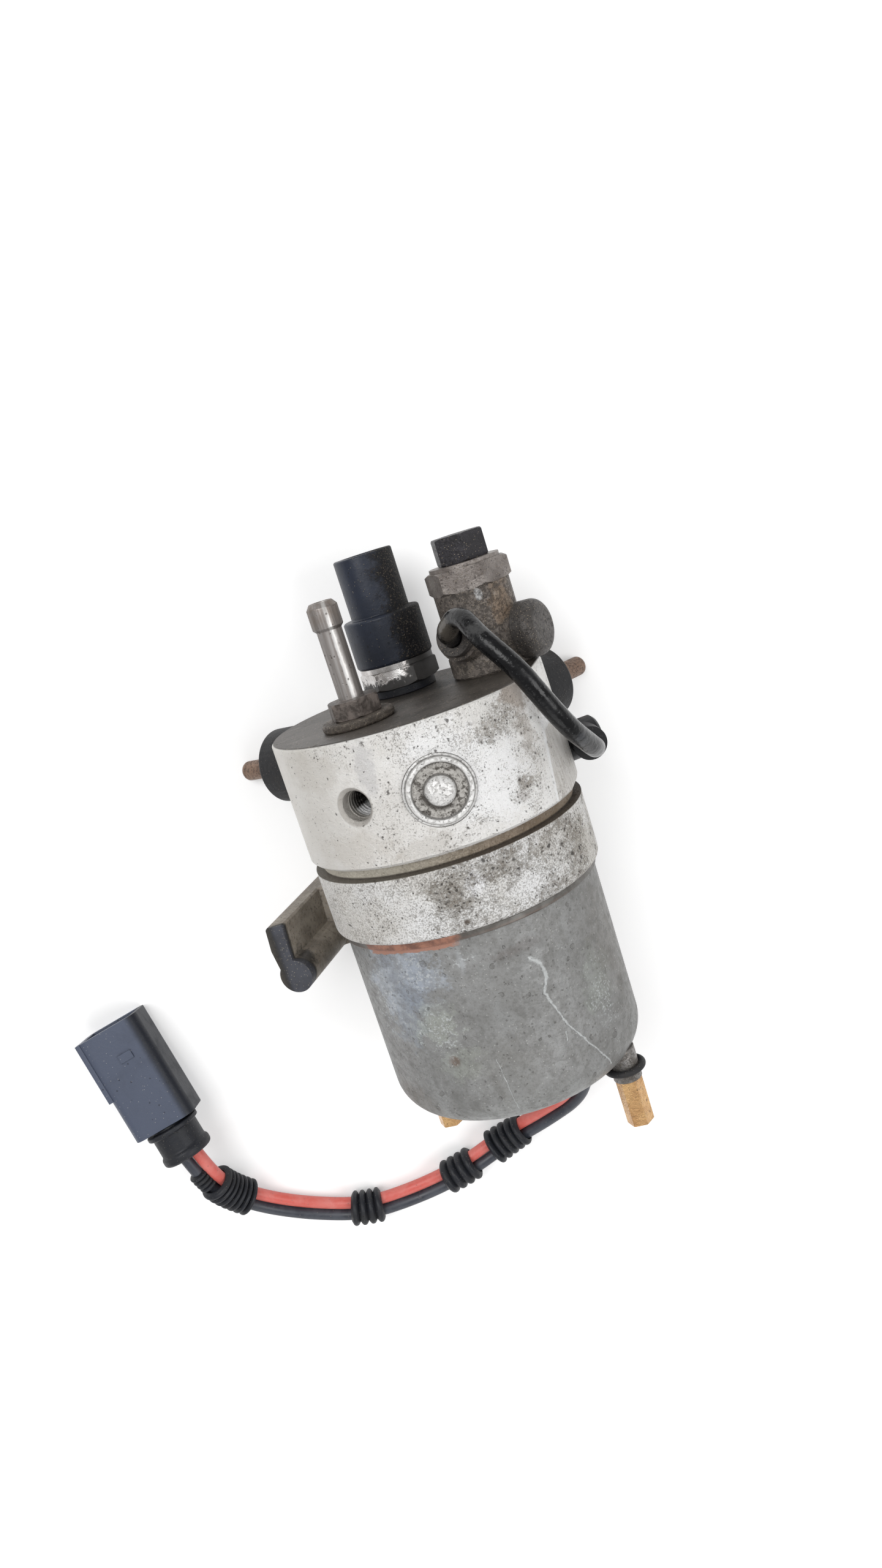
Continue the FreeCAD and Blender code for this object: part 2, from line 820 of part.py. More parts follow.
def make_commutator():
    body = tube(commutator_radius, shaft_radius, commutator_low, commutator_high)
    slits = []
    for k in range(core_slots):
        slit = slot_shape(commutator_slit, commutator_low - 1, commutator_high + 1,
                          commutator_radius - 1.2, commutator_radius + 1)
        slits.append(radial(slit, 360.0 * (k + 0.5) / core_slots, 0))
    return body.cut(slits)


def brush_middle():
    """Level of the brushes, on the brush plate."""
    return brush_plate_top + fit_gap + brush_height / 2


def make_brush_plate():
    """Plastic plate in the mouth of the can with a channel for each brush."""
    rim = can_inside - seal_ring_lip - joint_gap
    body = tube(rim, commutator_radius + 1.0, brush_plate_low, brush_plate_top)
    rail_low = brush_plate_top - 0.1
    rail_high = brush_plate_top + brush_height + 2 * fit_gap
    start = brush_box_start
    stop = brush_box_end
    for azimuth in (0, 180):
        for side in (-1, 1):
            x = side * (brush_width / 2 + fit_gap) + (0 if side > 0 else -brush_box_wall)
            rail = Part.makeBox(brush_box_wall, rail_high - rail_low, stop - start + brush_box_end_wall,
                                Vector(x, rail_low, start))
            body = body.fuse(radial(rail, azimuth, 0))
        end = Part.makeBox(brush_width + 2 * fit_gap, rail_high - rail_low, brush_box_end_wall,
                           Vector(-brush_width / 2 - fit_gap, rail_low, stop))
        body = body.fuse(radial(end, azimuth, 0))
    low = brush_plate_low - 1
    return body.cut([along(bolt_radius + joint_gap, low, brush_plate_top + 1, p) for p in bolt_places()])


def make_brush(azimuth):
    block = Part.makeBox(brush_width, brush_height, brush_length,
                         Vector(-brush_width / 2, -brush_height / 2, commutator_radius + fit_gap))
    return radial(block, azimuth, brush_middle())


def make_brush_spring(azimuth):
    start = commutator_radius + fit_gap + brush_length + fit_gap
    spring = coil(brush_spring_wire, brush_spring_radius, start, brush_box_end - fit_gap, brush_spring_turns)
    return radial(spring, azimuth, brush_middle())


def make_bearing_outer():
    body = tube(bearing_radius, bearing_radius - race_wall, bearing_low + 0.1, bearing_high)
    return body.cut(ball_track())


def make_bearing_inner():
    body = tube(shaft_radius + race_wall, shaft_radius, bearing_low + 0.1, bearing_high)
    return body.cut(ball_track())


def ball_circle():
    """Radius on which the bearing balls run."""
    return (shaft_radius + bearing_radius) / 2


def ball_track():
    """Groove that the balls leave in both races."""
    middle = (bearing_low + bearing_high) / 2
    return Part.makeTorus(ball_circle(), bearing_ball + fit_gap, Vector(0, middle, 0), axis_y)


def make_balls():
    """Balls and the thin cage that spaces them, which turn together."""
    middle = (bearing_low + bearing_high) / 2
    balls = []
    pockets = []
    inner = ball_circle() - bearing_ball
    outer = ball_circle() + bearing_ball
    for k in range(bearing_balls):
        turn = 360.0 * k / bearing_balls
        ball = Part.makeSphere(bearing_ball)
        ball.translate(Vector(0, 0, ball_circle()))
        balls.append(radial(ball, turn, middle))
        pockets.append(spoke(bearing_ball + fit_gap, inner, outer, turn, middle))
    half_width = bearing_width / 2 - 0.6
    cage = tube(ball_circle() + cage_wall / 2, ball_circle() - cage_wall / 2, middle - half_width,
                middle + half_width)
    return Part.makeCompound([cage.cut(pockets)] + balls)


def make_shaft_seal():
    return turned([
        (seal_radius, bearing_high + 0.1),
        (seal_radius, seal_high),
        (shaft_radius + 1.6, seal_high),
        (shaft_radius + 0.05, seal_high - 1.0),
        (shaft_radius + 0.05, seal_high - 1.5),
        (seal_radius - 1.4, seal_high - 1.0),
        (seal_radius - 1.4, bearing_high + 0.1),
    ])


def make_rear_bush():
    return tube(bush_radius, shaft_radius + fit_gap, can_floor, can_floor + bush_length - 0.4)


def make_through_bolts():
    low = bolt_seat_top() - bolt_seat_length - 2.0
    return Part.makeCompound([along(bolt_radius, low, flange_bottom + bolt_grip, p) for p in bolt_places()])


def bolt_seat_low():
    """Outer end of the bolt bush."""
    return bolt_seat_top() - bolt_seat_length


def make_bolt_bushes():
    solids = []
    for place in bolt_places():
        bush = tube(bolt_seat_radius, bolt_radius + fit_gap, bolt_seat_low(), bolt_seat_top(), place)
        solids.append(bush)
    return Part.makeCompound(solids)


def make_bolt_seals():
    """Black rings round the bushes where they leave the can's rounded corner."""
    distance = math.hypot(*bolt_place) - (can_radius - can_corner) - bolt_seat_radius * 0.3
    level = can_end + can_corner - math.sqrt(can_corner ** 2 - distance ** 2) - 2.0
    solids = []
    for place in bolt_places():
        centre = Vector(place[0], level, place[1])
        ring = Part.makeTorus(bolt_seat_radius + bolt_seal_wire, bolt_seal_wire, centre, axis_y)
        keep_out = along(can_radius + fit_gap, can_end - fit_gap, can_top)
        rim = edges_below(keep_out, can_end + 0.1)
        keep_out = keep_out.makeFillet(can_corner, rim)
        solids.append(ring.cut(keep_out))
    return Part.makeCompound(solids)


def make_brass_nuts():
    solids = []
    low = bolt_seat_low() - brass_nut_length
    for place in bolt_places():
        nut = hexagon(brass_nut_flats, low, bolt_seat_low(), place, turn=12)
        solids.append(nut.cut(along(bolt_radius, bolt_seat_low() - 2.0, bolt_seat_low() + 1, place)))
    return Part.makeCompound(solids)


def make_flange_screws():
    solids = []
    for place in screw_places():
        face = recess_floor - screw_head_height
        head = along(screw_head_radius, face, recess_floor, place)
        socket = hexagon(screw_socket_flats, face - 1, face + screw_socket_depth, place)
        shank = along(screw_radius, recess_floor - 0.1, head_face + screw_grip, place)
        solids.append(head.fuse(shank).cut(socket))
    return Part.makeCompound(solids)


def stud_plate_disc():
    """Plate of an outer stud, flush in the rubber's end."""
    return Part.makeCylinder(stud_plate_radius, stud_plate, Vector(0, 0, buffer_end - stud_plate))


def make_buffers():
    """Two rubber buffers on spot faces at the back of the head."""
    solids = []
    for side in (-1, 1):
        body = Part.makeCylinder(buffer_radius, buffer_length, Vector(0, 0, buffer_start))
        rims = round_edges(body)
        body = body.makeFillet(buffer_round, rims)
        body = body.cut(Part.makeCylinder(stud_inner_radius, stud_grip, Vector(0, 0, buffer_start)))
        body = body.cut(stud_plate_disc())
        solids.append(radial(body, side * buffer_azimuth, buffer_height))
    return Part.makeCompound(solids)


def make_inner_studs():
    solids = []
    for side in (-1, 1):
        solids.append(spoke(stud_inner_radius, buffer_start - stud_inside, buffer_start + stud_grip,
                            side * buffer_azimuth, buffer_height))
    return Part.makeCompound(solids)


def make_outer_studs():
    """Copper-plated studs with a domed tip, on a plate in the rubber's end."""
    solids = []
    for side in (-1, 1):
        body = Part.makeCylinder(stud_radius, stud_outside + 1, Vector(0, 0, buffer_end - 1))
        tip = edges_beyond(body, buffer_end)
        body = body.makeFillet(stud_round, tip)
        body = body.fuse(stud_plate_disc())
        solids.append(radial(body, side * buffer_azimuth, buffer_height))
    return Part.makeCompound(solids)


def make_poppet():
    """Relief valve poppet: a guided cup with a cone that closes the port."""
    start = valve_seat_radius + 0.1
    outline = [
        (0, start + 0.6),
        (valve_port - 0.2, start + 0.6),
        (valve_bore - 0.8, start + poppet_cone),
        (valve_bore, start + poppet_cone),
        (valve_bore, start + poppet_length),
        (valve_spring_radius + 0.9, start + poppet_length),
        (valve_spring_radius + 0.9, start + poppet_length - 1.8),
        (0, start + poppet_length - 1.8),
    ]
    points = [Vector(r, 0, z) for r, z in outline]
    points.append(points[0])
    body = Part.Face(Part.makePolygon(points)).revolve(Vector(0, 0, 0), Vector(0, 0, 1), 360)
    return radial(body, valve_azimuth, valve_height)


def make_valve_spring():
    start = valve_seat_radius + 0.1 + poppet_length - 1.75
    stop = plug_seat_distance() - plug_thread_length - 0.05
    turns = round(4 * (stop - start - valve_spring_wire) / valve_spring_pitch) / 4
    spring = coil(valve_spring_wire, valve_spring_radius, start, stop, turns)
    return radial(spring, valve_azimuth, valve_height)


def make_valve_plug():
    """Round plug with a shallow recess and a domed peg in its middle."""
    seat = plug_seat_distance()
    flange = Part.makeCylinder(plug_radius, plug_flange, Vector(0, 0, seat))
    rim = edges_beyond(flange, seat + plug_flange - 0.1)
    flange = flange.makeChamfer(0.5, rim)
    stem = Part.makeCylinder(plug_thread_radius, plug_thread_length, Vector(0, 0, seat - plug_thread_length))
    face = seat + plug_flange
    recess = Part.makeCylinder(plug_recess_radius, plug_recess + 1, Vector(0, 0, face - plug_recess))
    peg = Part.makeCylinder(peg_radius, peg_height + 0.2, Vector(0, 0, face - plug_recess - 0.2))
    top = edges_beyond(peg, face)
    peg = peg.makeFillet(1.5, top)
    return radial(flange.fuse(stem).cut(recess).fuse(peg), valve_azimuth, valve_height)


def make_nipple_washer():
    base = head_top + nipple_washer_height
    body = along(nipple_washer_radius, head_top, base, nipple_place)
    body = body.makeChamfer(0.4, round_edges(body))
    return body.cut(along(nipple_thread_radius, head_top - 1, base + 1, nipple_place))


def make_nipple():
    """Screw-in hose nipple: thread, hexagon and a long tube with a bead at its end."""
    base = head_top + nipple_washer_height
    tube_low = base + nipple_hex_height
    tip = tube_low + nipple_tube_length
    bead_low = tip - nipple_bead_length
    step = nipple_bead_radius - nipple_tube_radius
    body = turned([
        (0, head_top - nipple_thread_length),
        (nipple_thread_radius, head_top - nipple_thread_length),
        (nipple_thread_radius, base + 0.5),
        (nipple_tube_radius, base + 0.5),
        (nipple_tube_radius, bead_low - step),
        (nipple_bead_radius, bead_low),
        (nipple_bead_radius, tip - 1.2),
        (nipple_bead_radius - 0.9, tip),
        (0, tip),
    ])
    body.translate(Vector(nipple_place[0], 0, nipple_place[1]))
    body = body.fuse(hexagon(nipple_hex_flats, base, tube_low, nipple_place, turn=20))
    return body.cut(along(nipple_bore, head_top - nipple_thread_length - 1, tip + 1, nipple_place))


def switch_levels():
    """Levels of the switch: hexagon, black body, step and top."""
    hex_low = head_top + switch_seal_height
    body_low = hex_low + switch_hex_height
    step = body_low + switch_lower_height
    return hex_low, body_low, step, step + switch_upper_height


def make_switch_seal():
    hex_low = switch_levels()[0]
    return tube(switch_seal_radius, switch_thread_radius, head_top, hex_low, switch_place)


def make_switch_hex():
    hex_low, body_low = switch_levels()[:2]
    body = along(switch_thread_radius, head_top - switch_thread_length, hex_low + 0.5, switch_place)
    rim_low = body_low - switch_rim_height
    body = body.fuse(hexagon(switch_hex_flats, hex_low, rim_low, switch_place, turn=8))
    body = body.fuse(along(switch_rim_radius, rim_low - 0.1, body_low, switch_place))
    body = body.fuse(along(switch_upper_radius - 2, body_low - 0.1, body_low + 3, switch_place))
    return body.cut(along(tower_inlet, head_top - switch_thread_length - 1, body_low - 1, switch_place))


def make_switch_body():
    """Black moulded body in two steps with a round socket in its top."""
    body_low, step, top = switch_levels()[1:]
    lower = along(switch_lower_radius, body_low, step, switch_place)
    lower = lower.makeFillet(0.7, round_edges(lower))
    upper = along(switch_upper_radius, step - 1, top, switch_place)
    upper = upper.makeFillet(0.5, edges_above(upper, top - 0.1))
    socket_floor = top - switch_socket_depth
    cuts = [
        along(switch_upper_radius - 2, body_low - 1, body_low + 3, switch_place),
        along(switch_socket_radius, socket_floor, top + 1, switch_place),
    ]
    for side in (-1, 1):
        pin_place = (switch_place[0] + side * switch_pin_spread, switch_place[1])
        cuts.append(along(switch_pin_radius, socket_floor - 3, socket_floor + 1, pin_place))
    return lower.fuse(upper).cut(cuts)


def make_switch_pins():
    socket_floor = switch_levels()[3] - switch_socket_depth
    solids = []
    for side in (-1, 1):
        pin_place = (switch_place[0] + side * switch_pin_spread, switch_place[1])
        solids.append(along(switch_pin_radius, socket_floor - 3, socket_floor + switch_pin_length, pin_place))
    return Part.makeCompound(solids)


def tower_levels():
    """Levels of the tower: foot top, shoulder, collar top, disc top and nut top."""
    foot = head_top + tower_foot_height
    shoulder = head_top + tower_height
    collar = shoulder + collar_height
    disc = collar + collar_disc_height
    return foot, shoulder, collar, disc, disc + cap_nut_height


def tower_axis_point(height):
    """Point on the tower's axis above the head's top."""
    return Vector(tower_place[0], head_top + height, tower_place[1])


def pipe_port_origin():
    return tower_axis_point(port_height)


def pipe_port_way():
    return Vector(port_direction).normalize()


def check_seat():
    """Level of the check valve's seat."""
    return head_top + check_seat_height


def tower_spoke(radius, start, stop):
    """Round bar across the tower along the side plug's direction."""
    angle = math.radians(side_plug_azimuth)
    way = Vector(math.sin(angle), 0, math.cos(angle))
    return Part.makeCylinder(radius, stop - start, tower_axis_point(side_plug_height) + way * start, way)


def make_tower():
    """Turned steel body with the check valve bore, the pipe port and the side plug's boss."""
    foot, shoulder = tower_levels()[:2]
    body = along(tower_foot_radius, head_top, foot, tower_place)
    body = body.makeChamfer(0.5, round_edges(body))
    body = body.fuse(along(tower_thread_radius, head_top - tower_thread_length, head_top + 1, tower_place))
    body = body.fuse(along(tower_radius, foot - 1, shoulder, tower_place))
    way = pipe_port_way()
    origin = pipe_port_origin()
    body = body.fuse(Part.makeCylinder(port_boss_radius, port_boss_reach, origin, way))
    body = body.fuse(tower_spoke(side_plug_radius - 0.6, 0, side_plug_boss))
    stem_low = shoulder - collar_stem_length
    cuts = [
        along(tower_inlet, head_top - tower_thread_length - 1, check_seat() + 1, tower_place),
        along(check_bore, check_seat(), stem_low + 1, tower_place),
        along(collar_stem_radius + thread_gap, stem_low, shoulder + 1, tower_place),
        Part.makeCylinder(pipe_radius + pipe_gap, port_boss_reach, origin + way * port_socket_start, way),
        Part.makeCylinder(pipe_bore, port_socket_start + 1, origin, way),
        tower_spoke(side_plug_stem + thread_gap, side_plug_boss - 5.2, side_plug_boss + 1),
    ]
    return body.cut(cuts)


def make_check_ball():
    lift = math.sqrt(check_ball_radius ** 2 - tower_inlet ** 2) + fit_gap
    ball = Part.makeSphere(check_ball_radius)
    ball.translate(Vector(tower_place[0], check_seat() + lift, tower_place[1]))
    return ball


def make_check_spring():
    """Light spring above the ball, along the tower's axis."""
    lift = math.sqrt(check_ball_radius ** 2 - tower_inlet ** 2) + fit_gap
    rest = math.sqrt((check_ball_radius + check_spring_wire / 2) ** 2 - check_spring_radius ** 2)
    start = check_seat() + lift + rest - check_spring_wire / 2 + 0.05
    stop = tower_levels()[1] - collar_stem_length - 0.05
    spring = coil(check_spring_wire, check_spring_radius, start, stop, 6)
    turn = Placement(Vector(tower_place[0], 0, tower_place[1]), Rotation(Vector(1, 0, 0), -90))
    spring.Placement = turn.multiply(spring.Placement)
    return spring


def make_tower_collar():
    """Hexagon collar with a thin disc on top, screwed into the tower."""
    shoulder, collar, disc = tower_levels()[1:4]
    body = hexagon(collar_flats, shoulder, collar, tower_place, turn=14)
    body = body.fuse(along(collar_stem_radius, shoulder - collar_stem_length, shoulder + 1, tower_place))
    body = body.fuse(along(collar_disc_radius, collar - 0.5, disc, tower_place))
    floor = disc - cap_nut_stem_length - 0.5
    return body.cut(along(cap_nut_stem_radius + thread_gap, floor, disc + 1, tower_place))


def make_cap_nut():
    disc, nut = tower_levels()[3:]
    body = hexagon(cap_nut_flats, disc, nut, tower_place, turn=25)
    return body.fuse(along(cap_nut_stem_radius, disc - cap_nut_stem_length, disc + 0.5, tower_place))


def make_side_plug():
    """Round-headed plug on the tower's right side."""
    head = tower_spoke(side_plug_radius, side_plug_boss, side_plug_reach)
    angle = math.radians(side_plug_azimuth)
    way = Vector(math.sin(angle), 0, math.cos(angle))
    outer = []
    for edge in head.Edges:
        if isinstance(edge.Curve, Part.Circle):
            if (edge.Curve.Center - tower_axis_point(side_plug_height)).dot(way) > side_plug_boss + 1:
                outer.append(edge)
    head = head.makeFillet(2.4, outer)
    return head.fuse(tower_spoke(side_plug_stem, side_plug_boss - 4.8, side_plug_boss + 0.5))


def make_port_ring():
    """Crimp ring where the pipe leaves the tower."""
    way = pipe_port_way()
    start = pipe_port_origin() + way * port_boss_reach
    body = Part.makeCylinder(port_ring_radius, port_ring_height, start, way)
    return body.cut(Part.makeCylinder(pipe_radius + pipe_gap, 3 * port_ring_height, start - way * 1.0, way))


def elbow_hub():
    """Centre of the elbow beside the head."""
    angle = math.radians(elbow_azimuth)
    return Vector(elbow_hub_distance * math.sin(angle), elbow_height, elbow_hub_distance * math.cos(angle))


def pipe_corners():
    """Corners of the pipe: on the port's axis, above it, and past the head's shoulder."""
    corners = [pipe_port_origin() + pipe_port_way() * pipe_first_run, pipe_port_origin() + Vector(*pipe_rise)]
    for azimuth, level, outside in pipe_shoulder:
        x, z = around(head_radius + outside, azimuth)
        corners.append(Vector(x, level, z))
    return corners


def elbow_way():
    """Direction from the elbow's centre to the last corner of the pipe."""
    return (pipe_corners()[-1] - elbow_hub()).normalize()


def make_pipe():
    start = pipe_port_origin() + pipe_port_way() * (port_socket_start + 0.1)
    end = elbow_hub() + elbow_way() * (elbow_socket_start + 0.1)
    corners = [start] + pipe_corners() + [end]
    route = rounded_route([tuple(corner) for corner in corners], "pipe", 2 * pipe_radius)
    body = swept(route, pipe_radius)
    compare_volume("pipe", body, route, math.pi * pipe_radius ** 2)
    return body.cut(swept(route, pipe_bore))


def make_elbow():
    """Elbow fitting screwed into the head's side, with a stub that takes the pipe's end."""
    hub = elbow_hub()
    way = elbow_way()
    seat = elbow_seat_distance()
    body = spoke(elbow_radius, seat, elbow_hub_distance + elbow_reach, elbow_azimuth, elbow_height)
    body = body.makeChamfer(0.8, round_edges(body))
    body = body.fuse(Part.makeCylinder(elbow_stub_radius, elbow_stub_length, hub, way))
    stem = spoke(elbow_stem_radius, seat - elbow_stem_length, seat + 1, elbow_azimuth, elbow_height)
    cuts = [
        Part.makeCylinder(pipe_radius + pipe_gap, elbow_stub_length, hub + way * elbow_socket_start, way),
        Part.makeCylinder(pipe_bore, elbow_socket_start + 1, hub, way),
        spoke(pipe_bore, seat - elbow_stem_length - 1, elbow_hub_distance, elbow_azimuth, elbow_height),
    ]
    return body.fuse(stem).cut(cuts)


def foot_outline():
    """Outline of the foot's wall as (outward, along the pump's axis) pairs, down to the bead at each side."""
    bead_level = foot_top - foot_bead_drop
    outer_waist = foot_thickness - foot_waist / 2
    down = [
        (foot_edge, foot_top),
        (foot_thickness - foot_edge, foot_top),
        (foot_thickness, foot_top - foot_edge),
        (foot_thickness + foot_swell, foot_top - foot_swell_drop),
        (outer_waist, bead_level + math.sqrt(foot_bead_radius ** 2 - (outer_waist - foot_bead_inset) ** 2)),
    ]
    up = [
        (foot_waist, bead_level + math.sqrt(foot_bead_radius ** 2 - (foot_waist - foot_bead_inset) ** 2)),
        (0, foot_top - foot_edge),
        (foot_edge, foot_top),
    ]
    return down, (foot_bead_inset, bead_level - foot_bead_radius), up


def foot_inner_face(height):
    """Place across of the wall's inner face at a height."""
    return foot_near_corner[0] - foot_lean[0] / foot_lean[1] * (foot_near_corner[1] - height)


def make_foot():
    """Rubber foot: a leaning wall with a beaded edge, and a base that cradles the can."""
    out = Vector(foot_lean[1], 0, -foot_lean[0])
    origin = Vector(foot_near_corner[0], 0, foot_near_corner[1])
    down, bead_tip, up = foot_outline()

    def at(pair):
        return origin + out * pair[0] + Vector(0, pair[1], 0)

    edges = [Part.LineSegment(at(a), at(b)).toShape() for a, b in zip(down, down[1:])]
    edges.append(Part.Arc(at(down[-1]), at(bead_tip), at(up[0])).toShape())
    edges.extend(Part.LineSegment(at(a), at(b)).toShape() for a, b in zip(up, up[1:]))
    fall = foot_near_corner[1] - ground
    way = Vector(foot_lean[0], 0, foot_lean[1])
    wall = Part.Face(Part.Wire(edges)).extrude(way * (fall / -foot_lean[1] + foot_thickness))
    base_low = foot_top - foot_base_length
    corners = [
        Vector(foot_inner_face(foot_wall_top) - foot_joint, base_low, foot_wall_top),
        Vector(foot_inner_face(ground) - foot_joint, base_low, ground),
        Vector(foot_base_right, base_low, ground),
        Vector(foot_base_right, base_low, foot_wall_top),
    ]
    corners.append(corners[0])
    base = Part.Face(Part.makePolygon(corners)).extrude(Vector(0, foot_base_length, 0))
    low_side = Part.makeBox(2 * can_radius, foot_base_length + 2, 2 * can_radius,
                            Vector(0, base_low - 1, foot_cradle - can_radius))
    under = Part.makeBox(4 * head_radius, 2 * foot_base_length, head_radius,
                         Vector(-3 * head_radius, base_low - foot_bead_radius, ground - head_radius))
    cuts = [
        low_side,
        along(flange_radius + joint_gap, can_top - joint_gap, head_face),
        along(can_radius + joint_gap, can_end, can_top),
    ]
    return wall.fuse(base.cut(cuts)).cut(under)


def lead_route():
    """Corners of the pair's centre line from the gland to the connector's neck."""
    start = (gland_place[0], can_end - 0.2, gland_place[1])
    corners = [start, (gland_place[0], can_end - lead_reach, gland_place[1])]
    for x, y, height in lead_corners:
        corners.append((x, y, ground + height))
    end = plug_placement().multVec(Vector(0, wire_entry - plug_neck_length - plug_ring_length, 0))
    corners.append(tuple(end))
    return corners


def beside(corners, shift):
    """Corners moved sideways along the ground, to the right of the way for a positive shift."""
    moved = []
    for k, corner in enumerate(corners):
        before = Vector(*corners[max(k - 1, 0)])
        after = Vector(*corners[min(k + 1, len(corners) - 1)])
        way = after - before
        way.z = 0
        way.normalize()
        moved.append((corner[0] + way.y * shift, corner[1] - way.x * shift, corner[2]))
    return moved


def make_wire(shift, name):
    route = rounded_route(beside(lead_route(), shift), name, 5 * 2 * wire_radius)
    body = swept(route, wire_radius)
    compare_volume(name, body, route, math.pi * wire_radius ** 2)
    return body


def ribbed(length, ribs, crest_start, crest_end):
    """Ribbed rubber sleeve along +X: a ruled loft through four circles for each rib."""
    pitch = (length - 2 * sleeve_end) / ribs
    circles = [(0, sleeve_root), (sleeve_end, sleeve_root)]
    for k in range(ribs):
        crest = crest_start + (crest_end - crest_start) * k / max(ribs - 1, 1)
        start = sleeve_end + k * pitch
        circles.append((start + rib_rise * pitch, crest))
        circles.append((start + (rib_rise + rib_crest) * pitch, crest))
        circles.append((start + (2 * rib_rise + rib_crest) * pitch, sleeve_root))
        circles.append((start + pitch, sleeve_root))
    circles.append((length, sleeve_root))
    sections = [Part.Wire(Part.makeCircle(r, Vector(x, 0, 0), Vector(1, 0, 0))) for x, r in circles]
    body = Part.makeLoft(sections, True, True)
    body = body.cut(Part.makeCylinder(sleeve_bore, length + 2, Vector(-1, 0, 0), Vector(1, 0, 0)))
    body.translate(Vector(-length / 2, 0, 0))
    return body


def sleeve_at(index, length, ribs, crest_start, crest_end):
    """Places a sleeve round both wires at a corner of their route, in the middle of its arc."""
    corners = lead_route()
    before, here, after = [Vector(*corners[k]) for k in (index - 1, index, index + 1)]
    back = before - here
    onward = after - here
    run = min(back.Length, onward.Length)
    half_turn = (math.pi - back.getAngle(onward)) / 2
    radius = 0.45 * run / math.tan(half_turn)
    back.normalize()
    onward.normalize()
    centre = here + (back + onward).normalize() * (radius / math.cos(half_turn) - radius)
    way = (onward - back).normalize()
    body = ribbed(length, ribs, crest_start, crest_end)
    body.Placement = Placement(centre, Rotation(Vector(1, 0, 0), way)).multiply(body.Placement)
    return body


def make_gland():
    """Rubber gland in the can's end wall, tapering along the wires."""
    flange_low = can_end - gland_flange_height
    boot_low = flange_low - gland_boot_length
    bore = wire_spread + wire_radius + wire_gap
    body = turned([
        (0, can_floor + 1.2),
        (gland_radius, can_floor + 1.2),
        (gland_radius, can_end),
        (gland_flange_radius, can_end),
        (gland_flange_radius, flange_low + 0.4),
        (gland_flange_radius - 0.4, flange_low),
        (gland_boot_radius + 0.9, flange_low),
        (gland_boot_radius, boot_low),
        (0, boot_low),
    ])
    body = body.cut(along(bore, boot_low - 1, can_floor + 3))
    body.translate(Vector(gland_place[0], 0, gland_place[1]))
    return body


def plug_placement():
    """Where the connector lies: its own frame has +Y to its mouth, whose lower edge touches the ground."""
    dip = math.radians(plug_dip)
    height = plug_length * math.sin(dip) + plug_height / 2 * math.cos(dip)
    turn = Rotation(Vector(0, 0, 1), plug_turn).multiply(Rotation(Vector(1, 0, 0), -plug_dip))
    return Placement(Vector(plug_rear[0], plug_rear[1], ground + height), turn)


def place_plug(shape):
    """Moves a shape from the connector's own frame to where it lies."""
    placed = shape.copy()
    placed.Placement = plug_placement().multiply(placed.Placement)
    return placed


def blade_rear():
    """Level of the blades' inner ends in the connector's own frame."""
    return plug_length - plug_mouth_depth - blade_seat


def block(width, length, height, middle_x, low_y, low_z):
    """Box from its middle across and its low corner along and up."""
    return Part.makeBox(width, length, height, Vector(middle_x - width / 2, low_y, low_z))


def make_connector():
    """Two-pin connector housing: rounded box, open at the front, with a side rail and a latch nub."""
    body = block(plug_width, plug_length, plug_height, 0, 0, -plug_height / 2)
    long_edges = [e for e in body.Edges if abs(e.tangentAt(e.FirstParameter).y) > 0.9]
    body = body.makeFillet(plug_round, long_edges)
    rail_width, rail_height = plug_rail
    rail = block(rail_width, plug_rail_length, rail_height, rail_width / 2 - plug_rail_proud - plug_width / 2,
                 plug_length - plug_rail_length, plug_height / 2 - rail_height - plug_rail_drop)
    nub_width, nub_length, nub_height = plug_nub
    nub = block(nub_width, nub_length, nub_height + 1, plug_nub_place[0],
                plug_length - plug_nub_place[1] - nub_length / 2, plug_height / 2 - 1)
    cuts = [block(plug_width - 2 * plug_wall, plug_mouth_depth + 1, plug_height - 2 * plug_wall, 0,
                  plug_length - plug_mouth_depth, plug_wall - plug_height / 2)]
    for side in (-1, 1):
        cuts.append(block(blade_width, plug_mouth_depth, blade_thickness, side * blade_spread,
                          blade_rear(), -blade_thickness / 2))
    return place_plug(body.fuse([rail, nub]).cut(cuts))


def make_connector_neck():
    """Rear cap of the connector: a root, a seal disc, a round neck and an end ring that the wires enter."""
    bore = wire_spread + wire_radius + wire_gap
    depth = plug_neck_length + plug_ring_length
    seal_low = -plug_seal_gap - plug_seal_length
    neck = Part.makeCylinder(plug_neck_radius, plug_neck_length, Vector(0, -plug_neck_length, 0), axis_y)
    root_place = Vector(0, -plug_seal_gap, 0)
    root = Part.makeCylinder(plug_height / 2 - plug_seal_gap, plug_seal_gap, root_place, axis_y)
    seal = Part.makeCylinder(plug_seal_radius, plug_seal_length, Vector(0, seal_low, 0), axis_y)
    ring = Part.makeCylinder(plug_ring_radius, plug_ring_length, Vector(0, -depth, 0), axis_y)
    ring = ring.makeChamfer(plug_ring_edge, round_edges(ring))
    above = Part.makeCylinder(plug_seal_radius, plug_seal_gap, root_place, axis_y)
    body = neck.cut(above).fuse([root, seal, ring])
    return place_plug(body.cut(Part.makeCylinder(bore, depth, Vector(0, -depth - wire_entry, 0), axis_y)))


def make_blades():
    solids = []
    length = plug_length - plug_mouth_depth - blade_rear() + blade_length
    for side in (-1, 1):
        blade = block(blade_width, length, blade_thickness, side * blade_spread, blade_rear(),
                      -blade_thickness / 2)
        solids.append(place_plug(blade))
    return Part.makeCompound(solids)


